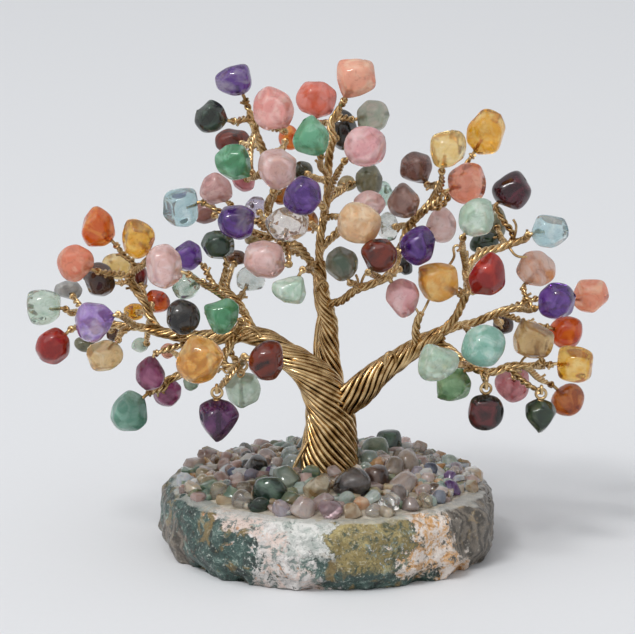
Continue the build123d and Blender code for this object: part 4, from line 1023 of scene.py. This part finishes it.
# %% Wire eyes
EYE_RADIUS, EYE_WIRE, EYE_LOW = 1.4 * MM, 0.42 * MM, 0.2 * MM
NECK_RING, NECK_PITCH, NECK_LEAST = 0.72 * MM, 0.95 * MM, 1.2 * MM
EYE_STEPS, NECK_STEPS = 28, 12
for joint in frame["joints"]:
    drop = joint["child"]
    pin = Vector(joint["pos_m"])
    middle = pin - UP * EYE_LOW
    low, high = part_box(drop)
    wire_low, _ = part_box(f"{drop}_wire")
    turns = [2 * math.pi * step / EYE_STEPS for step in range(EYE_STEPS + 1)]
    loop = [middle + (RIGHT * math.sin(a) - UP * math.cos(a)) * EYE_RADIUS for a in turns]
    stem = spaced([middle - UP * EYE_RADIUS, Vector((middle.x, middle.y, wire_low.z))], TWIG_STEP)
    neck_length = max(NECK_LEAST, middle.z - EYE_RADIUS - high.z)
    count = math.ceil(neck_length / NECK_PITCH * NECK_STEPS)
    neck = [around(middle - UP * (EYE_RADIUS + neck_length * step / count), UP, RIGHT,
                   2 * math.pi * step / NECK_STEPS, NECK_RING) for step in range(count + 1)]
    runs = [(points, [EYE_WIRE] * len(points)) for points in (loop, stem, neck)]
    add_piece(f"{drop}_eye", wire_mesh(f"{drop}_eye", runs), BRASS, drop, "brass_wire", f"{drop}_wire")

# %% [markdown]
# ## Gem chips
# The heap is made of offcuts of the same minerals, tumbled for a shorter time, so they keep more of their
# corners. Each chip is tilted a little and takes a colour pair of its group, drawn by a seeded chooser,
# unless it lies where the picture shows a chip that stands out.

# %% Chips of the heap
CHIP_WEAR = 0.16
CHIP_LEVELS, CHIP_RUBS = 2, 2
CHIP_WIDER, CHIP_TALLER, CHIP_SUNK = 1.22, 1.12, 0.35
CHIP_TILT = math.radians(32)
CHIP_TINTS = {
    "dark_chips": (("#2E2724", "#8A8078"), ("#2C4036", "#6A8472"), ("#3C4254", "#8A90A2"),
                   ("#503C34", "#9A8472")),
    "green_chips": (("#8CA492", "#C8D4C8"), ("#74907C", "#B4C2A8"), ("#9AA284", "#CCC09A"),
                    ("#B2C4BA", "#DEE6E0")),
    "clear_chips": (("#E2DED8", "#F6F4F0"), ("#DED0BC", "#ECD2AC"), ("#C6CCD0", "#E6E8EA"),
                    ("#EAE4DC", "#DAB488")),
    "pink_chips": (("#DCC0B8", "#F0E0DA"), ("#C8A8A0", "#E2CAC2"), ("#D4BCB4", "#F2E6E0"),
                   ("#BCA49E", "#E0D0C8")),
    "tan_chips": (("#C0A884", "#E2D0B0"), ("#CC9A66", "#E8C8A0"), ("#DCD0B8", "#A07C56"),
                  ("#B0A08A", "#D6C8B2")),
    "lilac_chips": (("#B4AAB8", "#DAD2DC"), ("#CEC4C8", "#B69E84"), ("#74588A", "#A68EB6"),
                    ("#A29CA6", "#CCC6CC")),
}
# Chips that stand out, with the column and row where the picture shows them
CHIP_SPOTS = (
    (255, 463, "#2A2522", "#8A8680"), (254, 472, "#B0A8BC", "#D2CCD8"), (234, 474, "#3A4058", "#6A7088"),
    (259, 494, "#2E4436", "#6E8672"), (285, 476, "#93A596", "#B9C4B6"), (286, 456, "#B0BDB8", "#D3DAD6"),
    (318, 486, "#D8CDB4", "#9A7A50"), (288, 498, "#7F9078", "#B08A50"), (309, 512, "#DCCAC6", "#EFE4E0"),
    (321, 501, "#CDB4B0", "#E0D0CC"), (335, 510, "#B49AA0", "#CDB8BA"), (357, 482, "#241D1B", "#6E6662"),
    (378, 475, "#4A3832", "#7A645A"), (397, 465, "#A8988A", "#C8BAAC"), (405, 481, "#CFBDB4", "#E8DCD4"),
    (420, 486, "#D8C4BC", "#EEE0DA"), (385, 505, "#E6E2DC", "#F4F2EE"), (403, 498, "#B4A6A2", "#7A6E6A"),
    (435, 505, "#7C8494", "#A8AEBA"), (448, 500, "#D2A070", "#E8C8A0"), (454, 486, "#6E4C8A", "#A58CBC"),
    (207, 495, "#DDD4CA", "#D09A60"), (226, 507, "#DDD4CA", "#C99660"), (242, 490, "#D6D2CA", "#B9AE9C"),
    (364, 503, "#E0B48E", "#F0D2B8"), (365, 457, "#A8B8B0", "#CCD6D0"), (230, 469, "#A88C84", "#C8B0A8"),
    (205, 480, "#A89A7C", "#C8BCA0"), (376, 518, "#E2DED8", "#F2EFEA"), (287, 515, "#D0C8D2", "#A88A70"),
)
CHIP_PLACES = []
for node, tints in CHIP_TINTS.items():
    whole, found = solids_of(node)
    group, boxes = bmesh.new(), []
    chooser = random.Random(node)
    for number, verts in enumerate(found):
        corners = [vert.co.copy() for vert in verts]
        low, high = box_of(corners)
        middle, reach = (low + high) / 2, (high - low) / 2
        tilt = Euler((chooser.uniform(-CHIP_TILT, CHIP_TILT), chooser.uniform(-CHIP_TILT, CHIP_TILT), 0))
        corners = [middle + tilt.to_matrix() @ (corner - middle) for corner in corners]
        column, row = seen(middle)
        spot = min(CHIP_SPOTS, key=lambda chip: math.hypot(column - chip[0], row - chip[1]))
        usual = chooser.choice(tints)
        colours = spot[2:] if math.hypot(column - spot[0], row - spot[1]) < NEAR_PIXELS else usual
        lump(group, corners, colours, CHIP_WEAR, number)
        reach = Vector((reach.x * CHIP_WIDER, reach.y * CHIP_WIDER, reach.z * CHIP_TALLER))
        boxes.append((middle - reach - UP * (reach.z * CHIP_SUNK), middle + reach))
        CHIP_PLACES.append((middle, max(reach.x, reach.y)))
    whole.free()
    mesh = tumbled(node, group, boxes, CHIP_LEVELS, CHIP_RUBS, [()] * len(boxes))
    add_piece(f"{node.removesuffix('_chips')}_chip_stones", mesh, GEM_FINISH[node], "tree", node, node)
print("chips:", len(CHIP_PLACES))

# %% [markdown]
# ## Gravel between the chips
# Small crumbs fill the gaps of a real heap and hide the glue. They are bevelled blocks pushed about by noise,
# with few faces because there are hundreds, and only laid where no larger chip is.

# %% Gravel crumbs
CRUMBS, CRUMB_RADIUS, CRUMB_SIZES = 340, 1.75 * MM, (0.7, 1.5)
RIM_CHIPS, RIM_RADIUS, RIM_SIZES, RIM_START, RIM_END = 150, 2.2 * MM, (0.6, 1.5), 0.74, 0.9
CRUMB_WIDTH, CRUMB_DEPTHS, CRUMB_HEIGHTS = 1.2, (0.7, 1), (0.55, 0.85)
BLOCK, BLOCK_BEVEL, BLOCK_NUDGE, BLOCK_NOISE, BLOCK_TILT = 1.7, 0.38, 0.4, 0.9, 0.5
CRUMB_LIFT, CHIP_COVER, CRUMB_CREASE = 0.3, 0.85, math.radians(52)
FRONT_STRIP = -0.55
BED_LOW, BED_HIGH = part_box("glue_bed")
BED_MIDDLE = (BED_LOW + BED_HIGH) / 2
BED_REACH = (BED_HIGH - BED_LOW) / 2
BED_TOP = 13 * MM
SLAB_LOW, SLAB_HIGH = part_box("stone_base")
SLAB_MIDDLE, SLAB_REACH = (SLAB_LOW + SLAB_HIGH) / 2, (SLAB_HIGH - SLAB_LOW) / 2
CRUMB_TINTS = [pair for kind in ("green", "clear", "pink", "tan") for pair in CHIP_TINTS[f"{kind}_chips"]]


def bed_height(x, y):
    """The height of the glue bed's slope at a place, or of the slab outside it."""
    out = math.hypot((x - BED_MIDDLE.x) / BED_REACH.x, (y - BED_MIDDLE.y) / BED_REACH.y)
    share = min(1, max(0, (1 - out) / (1 - BED_TOP / BED_REACH.x)))
    return SLAB_THICKNESS + (BED_HIGH.z - SLAB_THICKNESS) * share


spots = []
chooser = random.Random("gravel")
for index in range(CRUMBS):
    out, angle = math.sqrt((index + 0.5) / CRUMBS), 2 * math.pi * index * GOLDEN
    spots.append((BED_MIDDLE.x + BED_REACH.x * out * math.cos(angle),
                  BED_MIDDLE.y + BED_REACH.y * out * math.sin(angle),
                  CRUMB_RADIUS * chooser.uniform(*CRUMB_SIZES)))
for index in range(RIM_CHIPS):
    out, angle = RIM_START + (RIM_END - RIM_START) * chooser.random(), 2 * math.pi * index * GOLDEN
    if math.sin(angle) > FRONT_STRIP:
        spots.append((SLAB_MIDDLE.x + SLAB_REACH.x * out * math.cos(angle),
                      SLAB_MIDDLE.y + SLAB_REACH.y * out * math.sin(angle),
                      RIM_RADIUS * chooser.uniform(*RIM_SIZES)))
gravel = bmesh.new()
crumbs = 0
for index, (x, y, radius) in enumerate(spots):
    colours = chooser.choice(CRUMB_TINTS)
    shape_scale = (CRUMB_WIDTH, chooser.uniform(*CRUMB_DEPTHS), chooser.uniform(*CRUMB_HEIGHTS))
    clear = all(math.hypot(x - spot.x, y - spot.y) > size * CHIP_COVER for spot, size in CHIP_PLACES)
    if clear and math.hypot(x - ROOT.x, y - ROOT.y) > ROOT_RING + radius:
        crumb = bmesh.new()
        bmesh.ops.create_cube(crumb, size=BLOCK * radius)
        bmesh.ops.bevel(crumb, geom=crumb.edges[:], offset=BLOCK_BEVEL * radius, affect="EDGES", segments=1,
                        profile=0.5, material=-1)
        bmesh.ops.scale(crumb, verts=crumb.verts, vec=shape_scale)
        for vert in crumb.verts:
            spot = vert.co / radius * BLOCK_NOISE + Vector((index, 0, 0))
            vert.co += noise.noise_vector(spot) * (radius * BLOCK_NUDGE)
        tilts = [chooser.uniform(-BLOCK_TILT, BLOCK_TILT) for _ in range(2)]
        turn = Euler((*tilts, chooser.uniform(0, math.pi)))
        bmesh.ops.rotate(crumb, verts=crumb.verts, cent=(0, 0, 0), matrix=turn.to_matrix())
        bmesh.ops.translate(crumb, verts=crumb.verts, vec=(x, y, bed_height(x, y) + radius * CRUMB_LIFT))
        mark(crumb, colours, index)
        join(gravel, crumb)
        crumbs += 1
gravel_mesh = bpy.data.meshes.new("gravel_crumbs")
gravel.to_mesh(gravel_mesh)
gravel.free()
gravel_mesh.shade_smooth()
gravel_mesh.set_sharp_from_angle(angle=CRUMB_CREASE)
add_piece("gravel_crumbs", gravel_mesh, GEM_FINISH["tan_chips"], "tree", "tan_chips")
print("crumbs:", crumbs)

# %% [markdown]
# ## Glue bed
# The glue has set clear and yellowish, full of stone dust. Only slits of it show between the chips, so it
# keeps its CAD shape and gets a glossy, speckled finish.

# %% Set glue
DUST, DUST_DEPTH = 1.2 * MM, 1 * MM
glue, tree, surface, spots = new_finish("set_glue_with_dust")
grains = add_node(tree, "ShaderNodeTexVoronoi", {}, {"Vector": spots, "Scale": 1 / (2 * DUST)})
dust = add_node(tree, "ShaderNodeTexNoise", {}, {"Vector": spots, "Scale": 1 / DUST, "Detail": 4.0})
muted = add_node(tree, "ShaderNodeMix", {"data_type": "RGBA"},
                 {0: dust.outputs["Fac"], 6: linear("#6A5F50"), 7: linear("#A79A86")})
speckled = add_node(tree, "ShaderNodeMix", {"data_type": "RGBA"},
                    {0: grains.outputs["Distance"], 6: muted.outputs[2], 7: linear("#C9C2B4")})
bumps = add_node(tree, "ShaderNodeBump", {},
                 {"Height": grains.outputs["Distance"], "Strength": 0.6, "Distance": DUST_DEPTH})
tree.links.new(speckled.outputs[2], surface.inputs["Base Color"])
tree.links.new(bumps.outputs[0], surface.inputs["Normal"])
surface.inputs["Roughness"].default_value = 0.3
surface.inputs["IOR"].default_value = 1.5
frame["nodes"]["glue_bed"].data.materials.clear()
frame["nodes"]["glue_bed"].data.materials.append(glue)
print("glue:", glue.name)

# %% [markdown]
# ## The slab
# The slab is a slice of moss marble, sawn flat above and below and broken round its sides, so the sides are
# rough, layered at the ends and chipped along the edges. The CAD slab is remeshed into small even faces, and
# its side faces are pushed in and out by noise of several sizes. The underside stays flat.

# %% Broken slab
SLAB_VOXEL = 0.8 * MM
ROUGH_SIZES = ((16 * MM, 1.0 * MM), (5 * MM, 0.5 * MM), (1.7 * MM, 0.3 * MM))
FLAKE, FLAKE_DEPTH, FLAKE_MIDDLE, FLAKE_TALLER = 8 * MM, 2.6 * MM, 0.35, 0.8
BULGE = 1.3 * MM
LAYER_START, LAYER_FULL, LAYER, LAYER_DEPTH = 35 * MM, 41 * MM, 1.25 * MM, 0.4 * MM
LAYER_WAVE, LAYER_SIZE, UNFLAKED = 3, 7 * MM, 0.6
SCALLOP_HEIGHT, SCALLOP_DEPTH, SCALLOP_WIDTH = 5 * MM, 2.6 * MM, 8 * MM
CHIPPED_EDGE, EDGE_SIZE, EDGE_DEPTH, EDGE_MORE = 2 * MM, 3.5 * MM, 1.3 * MM, 0.1
SIDE_GAIN, SIDE_LEAST, EDGE_LEAST = 1.4, 0.05, 0.2
SOCKET_RIM, SLAB_CREASE = 2 * MM, math.radians(30)

whole, _ = solids_of("stone_base")
slab_data = bpy.data.meshes.new("stone_slab")
whole.to_mesh(slab_data)
whole.free()
slab_mesh = finished_mesh(slab_data, [("REMESH", {"mode": "VOXEL", "voxel_size": SLAB_VOXEL})])
slab = bmesh.new()
slab.from_mesh(slab_mesh)
slab.normal_update()
socket = ROOT_RING + SOCKET_RIM
for vert in slab.verts:
    spot = vert.co.copy()
    if math.hypot(spot.x - ROOT.x, spot.y - ROOT.y) < socket:
        continue
    level = Vector((vert.normal.x, vert.normal.y, 0))
    side = min(1.0, level.length * SIDE_GAIN)
    outward = level.normalized() if level.length > SIDE_LEAST else Vector()
    push = BULGE + sum(noise.noise(spot / size) * depth for size, depth in ROUGH_SIZES)
    layered = ramp(abs(spot.x), LAYER_START, LAYER_FULL)
    flake = noise.voronoi(Vector((spot.x, spot.y, spot.z * FLAKE_TALLER)) / FLAKE)[0][0]
    push += (FLAKE_MIDDLE - flake) * FLAKE_DEPTH * (1 - UNFLAKED * layered)
    ridges = math.sin((spot.y * 0.9 + spot.z * 0.3) / LAYER + LAYER_WAVE * noise.noise(spot / LAYER_SIZE))
    push += layered * ridges * LAYER_DEPTH
    low_share = max(0.0, 1 - spot.z / SCALLOP_HEIGHT)
    push -= low_share * SCALLOP_DEPTH * abs(noise.noise(Vector((spot.x, spot.y, 0)) / SCALLOP_WIDTH)) * 2
    vert.co += outward * push * side
    if spot.z > SLAB_THICKNESS - CHIPPED_EDGE and level.length > EDGE_LEAST:
        vert.co.z -= max(0.0, noise.noise(spot / EDGE_SIZE) + EDGE_MORE) * EDGE_DEPTH
slab.to_mesh(slab_mesh)
slab.free()
slab_mesh.shade_smooth()
slab_mesh.set_sharp_from_angle(angle=SLAB_CREASE)
print("slab faces:", len(slab_mesh.polygons))

# %% [markdown]
# ## Moss marble
# The stone runs from one mineral into the next: grey-brown bark-like layers at both ends, dark green moss
# with white flecks, a white and grey seam with rusty patches left of the middle, a pale band and ochre moss
# over the green right of it, and a pink and orange zone near the right end. The place along the slab and the
# height, both wandering with noise, pick the mineral. Each mineral is a ground with colours laid over it.

# %% Slab finish
# Noise patterns of the stone: grain size in mm, detail, roughness and distortion
PATTERNS = {
    "wander": (16, 3, 0.5, 0.3), "ragged": (4, 6, 0.7, 0.5), "grain": (4.5, 8, 0.72, 0.6),
    "swirl": (3.2, 7, 0.7, 0.8), "patch": (7, 6, 0.65, 0.8), "fine": (0.9, 4, 0.6, 0.0),
}
# How far each pattern moves the minerals' borders, in mm from its least to its most
DRIFTS = {"wander": 34, "ragged": 22, "grain": 22, "fine": 12}
SLANT, RISING = 0.5, 0.35
BARK_BANDS, BORDER, RELIEF_DEPTH = 130, 1.2 * MM, 0.7 * MM
marble, tree, surface, spots = new_finish("moss_marble_slab")
pattern = {}
for name, (size, detail, roughness, distortion) in PATTERNS.items():
    made = add_node(tree, "ShaderNodeTexNoise", {},
                    {"Vector": spots, "Scale": 1 / (size * MM), "Detail": detail, "Roughness": roughness,
                     "Distortion": distortion})
    pattern[name] = made.outputs["Fac"]
layers = add_node(tree, "ShaderNodeTexWave", {"bands_direction": "Y"},
                  {"Vector": spots, "Scale": BARK_BANDS, "Distortion": 9.0, "Detail": 5.0,
                   "Detail Scale": 1.4})
pattern["layers"] = layers.outputs["Fac"]


def laid_over(ground, colour, value, start, end, most):
    """A colour over a ground, hex codes or sockets, by up to a share as a value goes from start to end."""
    share = add_node(tree, "ShaderNodeMapRange", {},
                     {"Value": value, "From Min": start, "From Max": end, "To Max": most})
    below, above = [linear(part) if isinstance(part, str) else part for part in (ground, colour)]
    return add_node(tree, "ShaderNodeMix", {"data_type": "RGBA"},
                    {0: share.outputs[0], 6: below, 7: above}).outputs[2]


# Each mineral: its ground, then what lies over it, by which pattern, from where to where and by how much
MINERALS = {
    "moss": ("#16211E", (("#3F5851", "grain", 0.38, 0.54, 1), ("#90A399", "grain", 0.56, 0.66, 0.9),
                         ("#C6CEC4", "fine", 0.57, 0.68, 0.65), ("#8E7440", "patch", 0.55, 0.62, 0.7))),
    "seam": ("#E4E0DC", (("#C4BFBB", "swirl", 0.38, 0.5, 1), ("#D9BFB2", "patch", 0.5, 0.58, 0.7),
                         ("#7C8681", "swirl", 0.54, 0.6, 1), ("#33433D", "grain", 0.57, 0.62, 0.9),
                         ("#C08048", "ragged", 0.58, 0.64, 0.8))),
    "band": ("#DAD9D4", (("#B4B8B2", "swirl", 0.44, 0.56, 1), ("#7E8F86", "grain", 0.54, 0.62, 0.9))),
    "ochre": ("#3E4A3B", (("#8C7C4C", "swirl", 0.4, 0.52, 1), ("#B3A36E", "grain", 0.52, 0.6, 0.8),
                          ("#CFC8B2", "fine", 0.57, 0.68, 0.6))),
    "blush": ("#E0D4CA", (("#C9985F", "swirl", 0.46, 0.56, 1), ("#8A5630", "swirl", 0.6, 0.66, 1),
                          ("#F0EAE4", "fine", 0.56, 0.66, 0.6), ("#4C5A4E", "grain", 0.6, 0.65, 0.8))),
    "bark": ("#4E4840", (("#7C7368", "layers", 0.1, 0.9, 1), ("#A88F66", "grain", 0.55, 0.66, 0.7),
                         ("#C9C3B6", "fine", 0.6, 0.7, 0.5))),
}
stone = {}
for name, (ground, overlays) in MINERALS.items():
    stone[name] = ground
    for colour, key, start, end, most in overlays:
        stone[name] = laid_over(stone[name], colour, pattern[key], start, end, most)

across = add_node(tree, "ShaderNodeSeparateXYZ", {}, {"Vector": spots})
drift = -sum(DRIFTS.values()) / 2 * MM
for name, reach in DRIFTS.items():
    drift = add_node(tree, "ShaderNodeMath", {"operation": "MULTIPLY_ADD"},
                     {0: pattern[name], 1: reach * MM, 2: drift}).outputs[0]
where = add_node(tree, "ShaderNodeMath", {"operation": "MULTIPLY_ADD"},
                 {0: across.outputs["Z"], 1: SLANT, 2: across.outputs["X"]})
where = add_node(tree, "ShaderNodeMath", {"operation": "ADD"}, {0: where.outputs[0], 1: drift})
height = add_node(tree, "ShaderNodeMath", {"operation": "MULTIPLY_ADD"},
                  {0: drift, 1: RISING, 2: across.outputs["Z"]})
# Each zone: its mineral, the middle and half its length along the slab, and the height it begins at, in mm
ZONES = (("seam", -9, 8, -30), ("band", 3, 8, 11), ("ochre", 19, 8, 8), ("blush", 35, 6, -30),
         ("bark", -62, 23, -30), ("bark", 62, 21, -30))
colour = stone["moss"]
for name, middle, half, floor in ZONES:
    off = add_node(tree, "ShaderNodeMath", {"operation": "SUBTRACT"}, {0: where.outputs[0], 1: middle * MM})
    off = add_node(tree, "ShaderNodeMath", {"operation": "ABSOLUTE"}, {0: off.outputs[0]})
    off = add_node(tree, "ShaderNodeMath", {"operation": "SUBTRACT"}, {0: off.outputs[0], 1: half * MM})
    under = add_node(tree, "ShaderNodeMath", {"operation": "SUBTRACT"}, {0: floor * MM, 1: height.outputs[0]})
    off = add_node(tree, "ShaderNodeMath", {"operation": "MAXIMUM"}, {0: off.outputs[0], 1: under.outputs[0]})
    colour = laid_over(colour, stone[name], off.outputs[0], BORDER, -BORDER, 1)
# Dark specks are painted shade in the pits, where the fine relief is low, and they also mottle the grain;
# faces that point up are made paler than the sides.
colour = laid_over(colour, "#2B2C28", pattern["fine"], 0.42, 0.3, 0.6)
facing = add_node(tree, "ShaderNodeNewGeometry", {}, {})
upward = add_node(tree, "ShaderNodeSeparateXYZ", {}, {"Vector": facing.outputs["Normal"]})
colour = laid_over(colour, "#CFCFC9", upward.outputs["Z"], 0.86, 0.97, 0.55)
tree.links.new(colour, surface.inputs["Base Color"])
relief = add_node(tree, "ShaderNodeMath", {"operation": "ADD"}, {0: pattern["grain"], 1: pattern["fine"]})
bumps = add_node(tree, "ShaderNodeBump", {},
                 {"Height": relief.outputs[0], "Strength": 0.8, "Distance": RELIEF_DEPTH})
tree.links.new(bumps.outputs[0], surface.inputs["Normal"])
surface.inputs["Roughness"].default_value = 0.28
surface.inputs["IOR"].default_value = 1.5
add_piece("stone_slab", slab_mesh, marble, "tree", "moss_marble", "stone_base")
